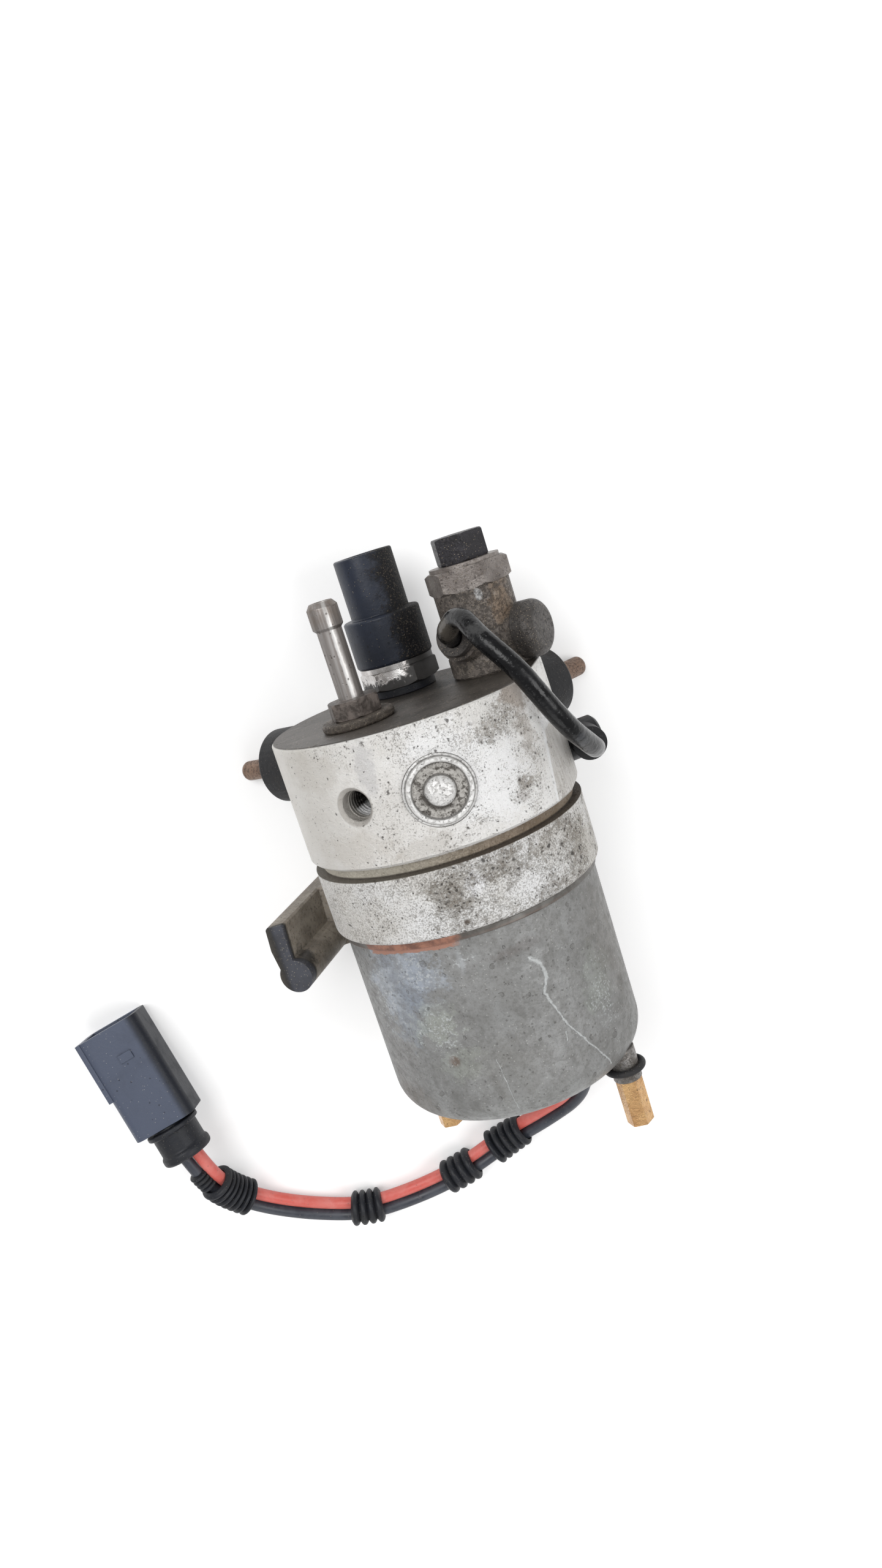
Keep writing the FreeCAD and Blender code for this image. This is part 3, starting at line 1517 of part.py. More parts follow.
def all_nodes():
    """Every sub-part by the name of its file."""
    nodes = {name: sleeve_at(*values) for name, values in sleeves.items()}
    nodes.update({
        "pump_head": make_head(),
        "motor_flange": make_flange(),
        "head_gasket": make_gasket(),
        "can_seal_ring": make_seal_ring(),
        "motor_can": make_can(),
        "field_magnets": make_magnets(),
        "armature_shaft": make_shaft(),
        "armature_core": make_core(),
        "armature_winding": make_winding(),
        "commutator": make_commutator(),
        "brush_plate": make_brush_plate(),
        "brush_upper": make_brush(0),
        "brush_lower": make_brush(180),
        "brush_spring_upper": make_brush_spring(0),
        "brush_spring_lower": make_brush_spring(180),
        "bearing_outer_race": make_bearing_outer(),
        "bearing_inner_race": make_bearing_inner(),
        "bearing_balls": make_balls(),
        "shaft_seal": make_shaft_seal(),
        "rear_bush": make_rear_bush(),
        "inner_rotor": make_inner_rotor(),
        "outer_rotor": make_outer_rotor(),
        "through_bolts": make_through_bolts(),
        "bolt_bushes": make_bolt_bushes(),
        "bolt_seals": make_bolt_seals(),
        "brass_nuts": make_brass_nuts(),
        "flange_screws": make_flange_screws(),
        "mount_buffers": make_buffers(),
        "buffer_inner_studs": make_inner_studs(),
        "buffer_outer_studs": make_outer_studs(),
        "relief_poppet": make_poppet(),
        "relief_spring": make_valve_spring(),
        "valve_plug": make_valve_plug(),
        "nipple_washer": make_nipple_washer(),
        "hose_nipple": make_nipple(),
        "switch_seal": make_switch_seal(),
        "switch_hex": make_switch_hex(),
        "switch_body": make_switch_body(),
        "switch_pins": make_switch_pins(),
        "tower_body": make_tower(),
        "check_ball": make_check_ball(),
        "check_spring": make_check_spring(),
        "tower_collar": make_tower_collar(),
        "cap_nut": make_cap_nut(),
        "side_plug": make_side_plug(),
        "port_ring": make_port_ring(),
        "pressure_pipe": make_pipe(),
        "pipe_elbow": make_elbow(),
        "rubber_foot": make_foot(),
        "cable_gland": make_gland(),
        "red_wire": make_wire(wire_spread, "red wire"),
        "black_wire": make_wire(-wire_spread, "black wire"),
        "connector_neck": make_connector_neck(),
        "connector_housing": make_connector(),
        "connector_blades": make_blades(),
    })
    return nodes


os.makedirs("parts", exist_ok=True)
for node_name, node_shape in all_nodes().items():
    solid_volumes = [round(s.Volume, 2) for s in node_shape.Solids]
    if not node_shape.isValid() or not node_shape.Solids or min(solid_volumes) <= 0:
        print("CHECK", node_name, "valid", node_shape.isValid(), "solids", solid_volumes)
    box = node_shape.BoundBox
    print("%-20s %2d solids %9.1f mm3  x %.1f..%.1f y %.1f..%.1f z %.1f..%.1f" % (
        node_name, len(node_shape.Solids), sum(solid_volumes),
        box.XMin, box.XMax, box.YMin, box.YMax, box.ZMin, box.ZMax))
    if len(node_shape.Solids) == 1:
        node_shape = node_shape.Solids[0]
    node_shape.exportStep("parts/" + node_name + ".step")
print("ground level", round(ground, 3))
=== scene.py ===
import json
import math

import bmesh
import bpy
import numpy as np
from mathutils import Matrix, Vector


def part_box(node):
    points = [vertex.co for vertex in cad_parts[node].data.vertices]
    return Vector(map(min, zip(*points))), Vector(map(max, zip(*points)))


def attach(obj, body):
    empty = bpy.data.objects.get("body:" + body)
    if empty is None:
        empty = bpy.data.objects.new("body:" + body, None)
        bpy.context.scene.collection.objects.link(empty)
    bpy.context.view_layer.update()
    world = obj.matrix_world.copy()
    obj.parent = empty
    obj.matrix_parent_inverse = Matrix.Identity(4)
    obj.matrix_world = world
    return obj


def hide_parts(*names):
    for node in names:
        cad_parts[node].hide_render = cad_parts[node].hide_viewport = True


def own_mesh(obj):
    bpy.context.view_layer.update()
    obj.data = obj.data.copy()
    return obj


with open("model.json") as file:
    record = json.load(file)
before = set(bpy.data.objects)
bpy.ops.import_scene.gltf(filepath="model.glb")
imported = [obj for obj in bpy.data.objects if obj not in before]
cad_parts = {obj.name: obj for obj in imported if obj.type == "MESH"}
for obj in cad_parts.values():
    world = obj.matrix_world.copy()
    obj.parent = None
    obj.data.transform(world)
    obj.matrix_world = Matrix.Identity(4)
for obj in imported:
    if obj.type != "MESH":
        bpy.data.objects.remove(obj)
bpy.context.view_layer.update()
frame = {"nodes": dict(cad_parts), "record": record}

# Electric auxiliary pump on a pale floor. Metres; +Y is the pump's axis, +Z is up.
# Places and shapes are written in millimetres and scaled once.
mm = 0.001
canRadius = 30.35  # mm
nodes = frame["nodes"]
floorLevel = min(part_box(name)[0].z for name in ("mount_buffers", "buffer_outer_studs", "rubber_foot")) / mm
print("frame loaded, floor at", round(floorLevel, 3), "mm")


def addObject(name, data):
    made = bpy.data.objects.new(name, data)
    bpy.context.scene.collection.objects.link(made)
    return made


cameraView = {
    "place": (1.5, 54.9, 277.3),  # mm
    "right": (0.9522, -0.2982, 0.0665),
    "up": (0.3055, 0.9293, -0.2074),
    "lens": 28.125,
}


def setCamera(view):
    data = bpy.data.cameras.new("camera")
    data.lens = view["lens"]
    data.sensor_width = 36.0
    data.clip_start = 0.01
    camera = addObject("camera", data)
    right = Vector(view["right"]).normalized()
    up = Vector(view["up"])
    up = (up - right * up.dot(right)).normalized()
    back = right.cross(up)
    turn = Matrix((right, up, back)).transposed().to_4x4()
    camera.matrix_world = Matrix.Translation(Vector(view["place"]) * mm) @ turn
    bpy.context.scene.camera = camera


setCamera(cameraView)
bpy.context.scene.view_settings.view_transform = "Standard"


# Node helpers. A tone is sRGB 0-255 or a node's colour; a span is a start and an end in mm.
def paint(tone):
    # sRGB 0-255 to linear: ((c + 0.055) / 1.055) ^ 2.4, or c / 12.92 near black
    if isinstance(tone, bpy.types.NodeSocket):
        return tone
    shares = [value / 255 for value in tone]
    return (*[c / 12.92 if c <= 0.04045 else ((c + 0.055) / 1.055) ** 2.4 for c in shares], 1.0)


def fill(tree, node, values):
    for key, value in values.items():
        if isinstance(value, bpy.types.NodeSocket):
            tree.links.new(value, node.inputs[key])
        else:
            node.inputs[key].default_value = value


def put(tree, kind, values=None, **settings):
    node = tree.nodes.new(kind)
    for key, value in settings.items():
        setattr(node, key, value)
    fill(tree, node, values or {})
    return node


def calc(tree, operation, a, b=0.0, clamp=False):
    return put(tree, "ShaderNodeMath", {0: a, 1: b}, operation=operation, use_clamp=clamp).outputs[0]


def times(tree, a, b):
    return calc(tree, "MULTIPLY", a, b)


def most(tree, *masks):
    # the largest of several masks
    largest = masks[0]
    for mask in masks[1:]:
        largest = calc(tree, "MAXIMUM", largest, mask)
    return largest


def addUp(tree, *parts):
    # sum of value x weight
    total = None
    for value, weight in parts:
        part = times(tree, value, weight)
        total = part if total is None else calc(tree, "ADD", total, part)
    return total


def vector(tree, operation, a, b=(0, 0, 0)):
    values = {0: a, "Scale": b} if operation == "SCALE" else {0: a, 1: b}
    made = put(tree, "ShaderNodeVectorMath", values, operation=operation)
    return made.outputs["Value" if operation in ("LENGTH", "DOT_PRODUCT") else "Vector"]


def spread(tree, value, low, high, toLow=0.0, toHigh=1.0):
    # smooth step of a value from one range to another
    ranges = {"Value": value, "From Min": low, "From Max": high, "To Min": toLow, "To Max": toHigh}
    return put(tree, "ShaderNodeMapRange", ranges, interpolation_type="SMOOTHSTEP").outputs[0]


def step(tree, value, span, toLow=0.0, toHigh=1.0):
    # smooth step over a span; it falls where the span runs downwards
    return spread(tree, value, span[0] * mm, span[1] * mm, toLow, toHigh)


def band(tree, value, rise, fall):
    # 1 between two spans and 0 outside them
    return times(tree, step(tree, value, rise), step(tree, value, fall))


def blendColour(tree, factor, a, b):
    return put(tree, "ShaderNodeMix", {0: factor, 6: paint(a), 7: paint(b)}, data_type="RGBA").outputs[2]


def tint(tree, colour, *layers):
    # lays tones over a colour in turn, each given as a mask, its strength and the tone
    for mask, strength, tone in layers:
        colour = blendColour(tree, times(tree, mask, strength), colour, tone)
    return colour


def noiseAt(tree, point, size, detail=4.0, roughness=0.6):
    values = {"Vector": point, "Scale": size, "Detail": detail, "Roughness": roughness}
    return put(tree, "ShaderNodeTexNoise", values).outputs[0]


def stir(tree, point, size, reach, detail=6.0, roughness=0.6):
    # a ragged shift: noise about zero, times its reach
    return times(tree, calc(tree, "SUBTRACT", noiseAt(tree, point, size, detail, roughness), 0.5), reach)


def stretched(tree, point, scale, detail=3.0):
    # noise drawn out along an axis, for turning lines and wiped dirt
    bent = put(tree, "ShaderNodeMapping", {"Vector": point, "Scale": scale}).outputs[0]
    return noiseAt(tree, bent, 1.0, detail)


def objectPoint(tree):
    return put(tree, "ShaderNodeTexCoord").outputs["Object"]


def axesOf(tree, point):
    return put(tree, "ShaderNodeSeparateXYZ", {0: point}).outputs


def outward(tree, x, z, azimuth):
    # distance from the pump's axis towards an azimuth: x sin a + z cos a
    angle = math.radians(azimuth)
    return addUp(tree, (x, math.sin(angle)), (z, math.cos(angle)))


def raggedAzimuth(tree, point):
    # angle round the pump's axis, its borders stirred
    x, y, z = axesOf(tree, point)
    return calc(tree, "ADD", calc(tree, "ARCTAN2", x, z), stir(tree, point, 420.0, 0.18))


def lengthOf(tree, a, b):
    return vector(tree, "LENGTH", put(tree, "ShaderNodeCombineXYZ", {0: a, 1: b}).outputs[0])


def newGroup(name, inputs, outputs):
    # a number becomes a Float input, a tuple or None a Vector input
    group = bpy.data.node_groups.new(name, "ShaderNodeTree")
    for label, value in inputs.items():
        kind = "NodeSocketFloat" if isinstance(value, float) else "NodeSocketVector"
        socket = group.interface.new_socket(name=label, in_out="INPUT", socket_type=kind)
        if value is not None:
            socket.default_value = value
    for label in outputs:
        group.interface.new_socket(name=label, in_out="OUTPUT", socket_type="NodeSocketFloat")
    return group, group.nodes.new("NodeGroupInput").outputs, group.nodes.new("NodeGroupOutput").inputs


def useGroup(tree, group, values):
    return put(tree, "ShaderNodeGroup", values, node_tree=group).outputs


def makeClouds():
    # soft dirt: fractal noise pushed apart into patches
    inputs = {"Point": None, "Size": 120.0, "Cover": 0.5, "Soft": 0.15}
    group, given, out = newGroup("clouds", inputs, ["Mask"])
    values = {"Vector": given["Point"], "Scale": given["Size"],
              "Detail": 7.0, "Roughness": 0.64, "Distortion": 0.3}
    noise = put(group, "ShaderNodeTexNoise", values).outputs[0]
    level = calc(group, "SUBTRACT", 1.0, given["Cover"])
    low = calc(group, "SUBTRACT", level, given["Soft"])
    high = calc(group, "ADD", level, given["Soft"])
    group.links.new(spread(group, noise, low, high), out["Mask"])
    return group


def makePits():
    # corrosion pits: ragged cells of uneven size whose middles sink, kept by chance where the region allows
    inputs = {"Point": None, "Size": 700.0, "Cover": 0.4, "Region": 1.0}
    group, given, out = newGroup("pits", inputs, ["Mask", "Height"])
    values = {"Vector": given["Point"], "Scale": given["Size"], "Detail": 3.0}
    noise = put(group, "ShaderNodeTexNoise", values).outputs["Color"]
    shift = vector(group, "SUBTRACT", noise, (0.5, 0.5, 0.5))
    shift = vector(group, "SCALE", shift, calc(group, "DIVIDE", 0.9, given["Size"]))
    point = vector(group, "ADD", given["Point"], shift)
    cells = put(group, "ShaderNodeTexVoronoi", {"Vector": point, "Scale": given["Size"], "Randomness": 1.0})
    chances = put(group, "ShaderNodeSeparateColor", {"Color": cells.outputs["Color"]}).outputs
    picked = calc(group, "LESS_THAN", chances[0], times(group, given["Cover"], given["Region"]))
    reach = addUp(group, (chances[1], 0.36), (1.0, 0.16))
    hollow = spread(group, cells.outputs["Distance"], reach, times(group, reach, 0.35))
    mask = times(group, hollow, picked)
    group.links.new(mask, out["Mask"])
    group.links.new(times(group, mask, -1.0), out["Height"])
    return group


def makeSpecks():
    # dust and grit: tiny grains of even chance
    group, given, out = newGroup("specks", {"Point": None, "Size": 1800.0, "Cover": 0.1}, ["Mask"])
    cells = put(group, "ShaderNodeTexVoronoi", {"Vector": given["Point"], "Scale": given["Size"]})
    chance = put(group, "ShaderNodeSeparateColor", {"Color": cells.outputs["Color"]}).outputs[0]
    picked = calc(group, "LESS_THAN", chance, given["Cover"])
    grain = spread(group, cells.outputs["Distance"], 0.42, 0.2)
    group.links.new(times(group, grain, picked), out["Mask"])
    return group


def makeSpot():
    # a ragged spot: distance from its middle, scaled by its size and stirred by noise
    inputs = {"Point": None, "Middle": None, "Reach": (0.01, 0.01, 0.01), "Ragged": 0.6}
    group, given, out = newGroup("spot", inputs, ["Mask"])
    away = vector(group, "SUBTRACT", given["Point"], given["Middle"])
    far = vector(group, "LENGTH", vector(group, "DIVIDE", away, given["Reach"]))
    stirred = stir(group, given["Point"], 300.0, times(group, given["Ragged"], 3.2), 6.0, 0.7)
    group.links.new(spread(group, calc(group, "ADD", far, stirred), 1.15, 0.45), out["Mask"])
    return group


def makeScratch():
    # a scratch on the can, between two (angle x radius, level) points
    group, given, out = newGroup("scratch", {"Start": None, "End": None, "Width": 0.0004}, ["Mask"])
    point = objectPoint(group)
    x, y, z = axesOf(group, point)
    angle = calc(group, "ARCTAN2", x, z)
    across = addUp(group, (angle, canRadius * mm), (stir(group, point, 420.0, 0.0012, 4.0), 1.0))
    flat = put(group, "ShaderNodeCombineXYZ", {0: across, 1: y}).outputs[0]
    along = vector(group, "SUBTRACT", given["End"], given["Start"])
    fromStart = vector(group, "SUBTRACT", flat, given["Start"])
    dot = vector(group, "DOT_PRODUCT", fromStart, along)
    share = calc(group, "DIVIDE", dot, vector(group, "DOT_PRODUCT", along, along), clamp=True)
    far = vector(group, "LENGTH", vector(group, "SUBTRACT", fromStart, vector(group, "SCALE", along, share)))
    uneven = addUp(group, (noiseAt(group, point, 1100.0, 3.0), 2.4), (1.0, -0.3))
    width = times(group, given["Width"], uneven)
    group.links.new(spread(group, far, width, times(group, width, 0.3)), out["Mask"])
    return group


clouds = makeClouds()
pits = makePits()
specks = makeSpecks()
spot = makeSpot()
scratch = makeScratch()
print("node groups made:", len(bpy.data.node_groups))


def inMetres(values):
    return tuple(value * mm for value in values)


def startMaterial(name):
    material = bpy.data.materials.new(name)
    material.use_nodes = True
    tree = material.node_tree
    return material, tree, tree.nodes["Principled BSDF"]


def makeMaterial(name, finish, *looks, gloss=0.5):
    # a finish works out colour, roughness, metal and height over the surface, and the height's depth in mm
    material, tree, shader = startMaterial(name)
    colour, rough, metal, height, depth = finish(tree, objectPoint(tree), *looks)
    bump = put(tree, "ShaderNodeBump", {"Height": height, "Strength": 0.8, "Distance": depth * mm})
    fill(tree, shader, {"Base Color": colour, "Roughness": rough, "Metallic": metal,
                        "Specular IOR Level": gloss, "Normal": bump.outputs[0]})
    return material


def cloudMask(tree, point, size, cover, soft):
    return useGroup(tree, clouds, {"Point": point, "Size": size, "Cover": cover, "Soft": soft})["Mask"]


def speckMask(tree, point, size, cover):
    return useGroup(tree, specks, {"Point": point, "Size": size, "Cover": cover})["Mask"]


def pitted(tree, point, size, cover, region=1.0):
    return useGroup(tree, pits, {"Point": point, "Size": size, "Cover": cover, "Region": region})


def spotMask(tree, point, middle, reach, ragged):
    return useGroup(tree, spot, {"Point": point, "Middle": inMetres(middle), "Reach": inMetres(reach),
                                 "Ragged": ragged})["Mask"]


def addSpots(tree, point, colour, spots):
    for middle, reach, ragged, strength, tone in spots:
        colour = tint(tree, colour, (spotMask(tree, point, middle, reach, ragged), strength, tone))
    return colour


# Light alloy. Tone spots, stains and some painted highlights: middle, reach (mm), raggedness, strength and
# tone. Pit spots end in an amount instead.
headLook = {
    "clean": (246, 245, 243), "dull": (228, 225, 220), "crust": (160, 151, 140), "pit": (52, 45, 38),
    "fine": 0.6, "small": 0.3, "large": 0.04,  # share of pits of each size
    "metallic": 0.3, "rough": 0.36, "crustCover": 0.33, "whiteCover": 0.26, "veil": 0.5,
    "pitSpots": [
        ((17.8, 9.5, 27.2), (8, 6, 7), 0.9, 0.8),
        ((10.9, 6.8, 30.6), (6, 4, 4), 0.9, 0.5),
        ((17.6, -7.4, 27.3), (4, 4, 4), 0.9, 0.8),
        ((22, -3, 24), (5, 9, 6), 0.9, 0.5),
    ],
    "stains": [
        # the first two are painted highlights, white where the lamps' reflection lies on the head
        ((13, -3, 29.8), (13, 11, 7), 0.6, 0.85, (254, 254, 254)),
        ((4, 8, 32), (8, 6, 4), 0.8, 0.7, (254, 254, 254)),
        ((22, 12.5, 24), (6.5, 3.6, 5), 0.9, 0.62, (138, 115, 94)),
        ((27, 11, 17), (4, 5, 5), 0.9, 0.6, (100, 81, 64)),
        ((22, 4.5, 24), (3.6, 5, 4), 1.2, 0.4, (152, 138, 124)),
        ((17.6, -7.4, 27.3), (2.6, 2.8, 3), 1.4, 0.4, (122, 106, 90)),
        ((-24, 9, 22), (11, 6, 9), 0.7, 0.35, (176, 168, 156)),
        ((-20, -10, 25), (14, 5, 8), 0.7, 0.35, (190, 180, 168)),
        ((-12.5, 8, 30), (2.4, 7, 4), 0.8, 0.4, (186, 185, 188)),
        ((-6, -11.5, 32), (9, 3, 3), 1.0, 0.35, (176, 168, 158)),
    ],
}
collarLook = {
    "clean": (246, 246, 246), "dull": (222, 219, 214), "crust": (124, 115, 103), "pit": (48, 42, 35),
    "fine": 0.8, "small": 0.6, "large": 0.2,
    "metallic": 0.25, "rough": 0.5, "crustCover": 0.42, "whiteCover": 0.4, "veil": 0.2,
    "pitSpots": [
        ((-4.3, -22.8, 31.9), (6, 4, 5), 1.0, 0.5),
        ((9, -21.2, 30.9), (6, 4, 5), 1.0, 0.55),
        ((-2.2, -28, 32), (9, 5, 5), 0.9, 0.4),
        ((22, -25, 24), (8, 8, 8), 0.9, 0.4),
    ],
    "stains": [
        ((2, -22, 32.1), (3, 3, 3), 1.1, 0.8, (248, 248, 250)),
        ((12, -28, 30), (5, 4, 4), 1.2, 0.6, (244, 244, 244)),
        ((-4.3, -22.8, 31.9), (5, 4, 4), 1.5, 0.28, (140, 131, 118)),
        ((9, -21.2, 30.9), (5, 4, 4), 1.5, 0.28, (136, 127, 114)),
        ((-2.2, -29.9, 32.1), (0.8, 0.8, 1), 0.3, 0.9, (78, 58, 46)),
        ((20, -20, 25), (7, 5, 7), 1.2, 0.3, (160, 149, 132)),
        ((29, -28, 14), (6, 9, 10), 0.9, 0.5, (182, 175, 162)),
    ],
}
topLook = {
    # base and dark are oil with painted shade, the face being turned from the light
    "level": (14.0, 14.2), "base": (82, 76, 70), "dark": (52, 47, 42), "grit": (158, 146, 130),
    "stains": [
        ((-22, 14.3, 4), (9, 2, 14), 0.8, 0.6, (92, 86, 80)),
        ((8, 14.3, -7), (12, 2, 9), 0.7, 0.9, (34, 31, 29)),
        ((18, 14.3, 8), (12, 2, 9), 0.8, 0.6, (60, 55, 50)),
        ((0, 14.3, 17), (8, 2, 5), 0.9, 0.5, (84, 79, 74)),
        ((5, 14.3, 10), (8, 2, 7), 1.0, 0.7, (54, 49, 44)),
        ((-15, 14.3, 22), (10, 2, 5), 1.0, 0.35, (92, 86, 80)),
        ((-20.2, 14.3, 25.4), (1.2, 1, 0.7), 0.3, 0.9, (40, 36, 33)),
        ((-4.2, 14.3, 7.8), (1.1, 1, 0.8), 0.4, 0.9, (168, 166, 158)),
    ],
}
alloySides = {"veil": (-8, -29), "veilTone": (196, 191, 182), "pitted": (-30, 20)}  # spans of x
flatLook = {
    "azimuth": 73.0, "distance": 30.73, "tilt": 0.0563,  # from the axis at mid-head, and its rise with y
    # edge and bright place the painted highlight line beside the flat's left edge
    "face": (-0.16, -0.06), "edge": (-0.6, -0.3), "bright": (2, -4),  # spans across its plane and along it
}
grooveLook = {
    "left": (206, 199, 183), "right": (148, 130, 109), "line": (66, 58, 49), "turn": (-20, 12),  # span of x
    # line is the painted shadow along the groove's foot
    "rise": (-14.6, -15.0), "lineRise": (-16.4, -16.8), "fall": (-17.2, -16.95),  # spans of y
}
holeLook = {
    # dark is painted shade with dirt deep in the hole; the lit spans place a painted highlight on its wall
    "azimuth": -32.0, "wall": (190, 186, 180), "dark": (44, 41, 38), "rim": (150, 143, 134),
    "bore": (3.62, 3.48), "mouth": (4.6, 4.1), "litSide": (-1.2, -2.0),  # spans from the hole's own axis
    "out": (10, 12), "deep": (30.5, 25.5), "litDepth": (29, 27),  # spans from the pump's axis
}


def addFlat(tree, point, axes, colour, flat):
    # milled flat: a darker tone over its face, wiped streaks and a painted highlight line beside its left
    # edge
    x, y, z = axes
    reached = outward(tree, x, z, flat["azimuth"])
    depth = addUp(tree, (reached, 1.0), (y, -flat["tilt"]), (1.0, -flat["distance"] * mm))
    onFlat = step(tree, depth, flat["face"])
    nearEdge = times(tree, step(tree, depth, flat["edge"]), calc(tree, "SUBTRACT", 1.0, onFlat))
    leftSide = step(tree, outward(tree, x, z, flat["azimuth"] + 90), flat["bright"])
    wiped = spread(tree, stretched(tree, point, (900.0, 90.0, 900.0)), 0.4, 0.62)
    # the last layer is the painted highlight along the flat's edge
    return tint(tree, colour,
                (onFlat, 0.35, (196, 191, 184)),
                (times(tree, onFlat, wiped), 0.28, (136, 122, 106)),
                (times(tree, nearEdge, leftSide), 0.8, (250, 250, 250)))


def addGroove(tree, x, y, colour, groove):
    # the groove between head and collar: darker to the right, with a painted shadow line at its foot
    tone = blendColour(tree, step(tree, x, groove["turn"]), groove["left"], groove["right"])
    return tint(tree, colour,
                (band(tree, y, groove["rise"], groove["fall"]), 0.92, tone),
                (band(tree, y, groove["lineRise"], groove["fall"]), 0.9, groove["line"]))


def addTop(tree, point, y, surface, top):
    # the end face: a dark tone of oil and painted shade, scraped and gritty, with no pits
    onTop = step(tree, y, top["level"])
    dirt = cloudMask(tree, point, 120.0, 0.5, 0.2)
    oily = addSpots(tree, point, blendColour(tree, dirt, top["base"], top["dark"]), top["stains"])
    scraped = spread(tree, stretched(tree, point, (120.0, 600.0, 1300.0), 5.0), 0.62, 0.72)
    oily = tint(tree, oily,
                (scraped, 0.35, (170, 164, 156)),
                (speckMask(tree, point, 1500.0, 0.14), 0.5, top["grit"]))
    clear = calc(tree, "SUBTRACT", 1.0, times(tree, onTop, 0.85))
    surface["colour"] = blendColour(tree, onTop, surface["colour"], oily)
    surface["metal"] = times(tree, surface["metal"], clear)
    surface["height"] = times(tree, surface["height"], clear)
    surface["rough"] = addUp(tree, (surface["rough"], 1.0), (onTop, 0.1))


def addHole(tree, point, axes, surface, hole):
    # blind side hole: pale wall with swarf, a painted highlight on one side and painted shade with dirt
    # towards the bottom, dull round its mouth
    x, y, z = axes
    side = outward(tree, x, z, hole["azimuth"] + 90)
    out = outward(tree, x, z, hole["azimuth"])
    away = lengthOf(tree, side, y)
    outer = step(tree, out, hole["out"])
    inside = times(tree, step(tree, away, hole["bore"]), outer)
    mouth = times(tree, step(tree, away, hole["mouth"]), outer)
    swarf = spread(tree, stretched(tree, point, (500.0, 2400.0, 500.0)), 0.5, 0.6)
    lit = times(tree, step(tree, y, hole["litSide"]), step(tree, out, hole["litDepth"]))
    within = blendColour(tree, step(tree, out, hole["deep"]), hole["wall"], hole["dark"])
    within = tint(tree, within, (swarf, 0.3, (176, 172, 166)), (lit, 0.9, (254, 254, 254)))
    rimmed = tint(tree, surface["colour"], (mouth, 0.5, hole["rim"]))
    surface["colour"] = blendColour(tree, inside, rimmed, within)
    surface["metal"] = addUp(tree, (surface["metal"], 1.0), (inside, 0.3))


def alloy(tree, point, look, groove, top=None, flat=None, hole=None):
    # light alloy gone white: crust, fine pits, wiped stains with painted highlights among them, and the
    # groove where head and collar meet
    axes = axesOf(tree, point)
    x, y = axes[0], axes[1]
    patches = cloudMask(tree, point, 60.0, 0.5, 0.2)
    colour = addSpots(tree, point, blendColour(tree, patches, look["clean"], look["dull"]), look["stains"])
    slow = spread(tree, noiseAt(tree, point, 130.0, 4.0, 0.7), 0.4, 0.66, 0.08, 1.1)
    region = times(tree, slow, step(tree, x, alloySides["pitted"], 0.4, 1.0))
    for middle, reach, ragged, amount in look["pitSpots"]:
        region = addUp(tree, (region, 1.0), (spotMask(tree, point, middle, reach, ragged), amount))
    cover = addUp(tree, (region, 0.11), (1.0, look["crustCover"]))
    crust = cloudMask(tree, point, 2700.0, cover, 0.07)
    lumps = cloudMask(tree, point, 900.0, calc(tree, "SUBTRACT", cover, 0.06), 0.05)
    fine = pitted(tree, point, 2300.0, look["fine"], region)
    small = pitted(tree, point, 1250.0, look["small"], region)
    large = pitted(tree, point, 620.0, look["large"], region)
    pitMask = most(tree, times(tree, fine["Mask"], 0.6), small["Mask"], large["Mask"])
    colour = tint(tree, colour,
                  (step(tree, x, alloySides["veil"]), look["veil"], alloySides["veilTone"]),
                  (crust, 0.55, look["crust"]),
                  (lumps, 0.5, look["crust"]),
                  (cloudMask(tree, point, 1900.0, look["whiteCover"], 0.05), 0.6, (252, 252, 251)),
                  (pitMask, 0.82, look["pit"]))
    if flat is not None:
        colour = addFlat(tree, point, axes, colour, flat)
    surface = {
        "colour": addGroove(tree, x, y, colour, groove),
        "rough": addUp(tree, (pitMask, 0.25), (crust, 0.16), (1.0, look["rough"])),
        "metal": addUp(tree, (pitMask, -look["metallic"]), (1.0, look["metallic"])),
        "height": addUp(tree, (fine["Height"], 0.5), (small["Height"], 1.0), (large["Height"], 1.8),
                        (crust, -0.4), (lumps, -0.6), (noiseAt(tree, point, 1300.0, 6.0, 0.7), 1.7)),
    }
    if top is not None:
        addTop(tree, point, y, surface, top)
    if hole is not None:
        addHole(tree, point, axes, surface, hole)
    return surface["colour"], surface["rough"], surface["metal"], surface["height"], 0.32


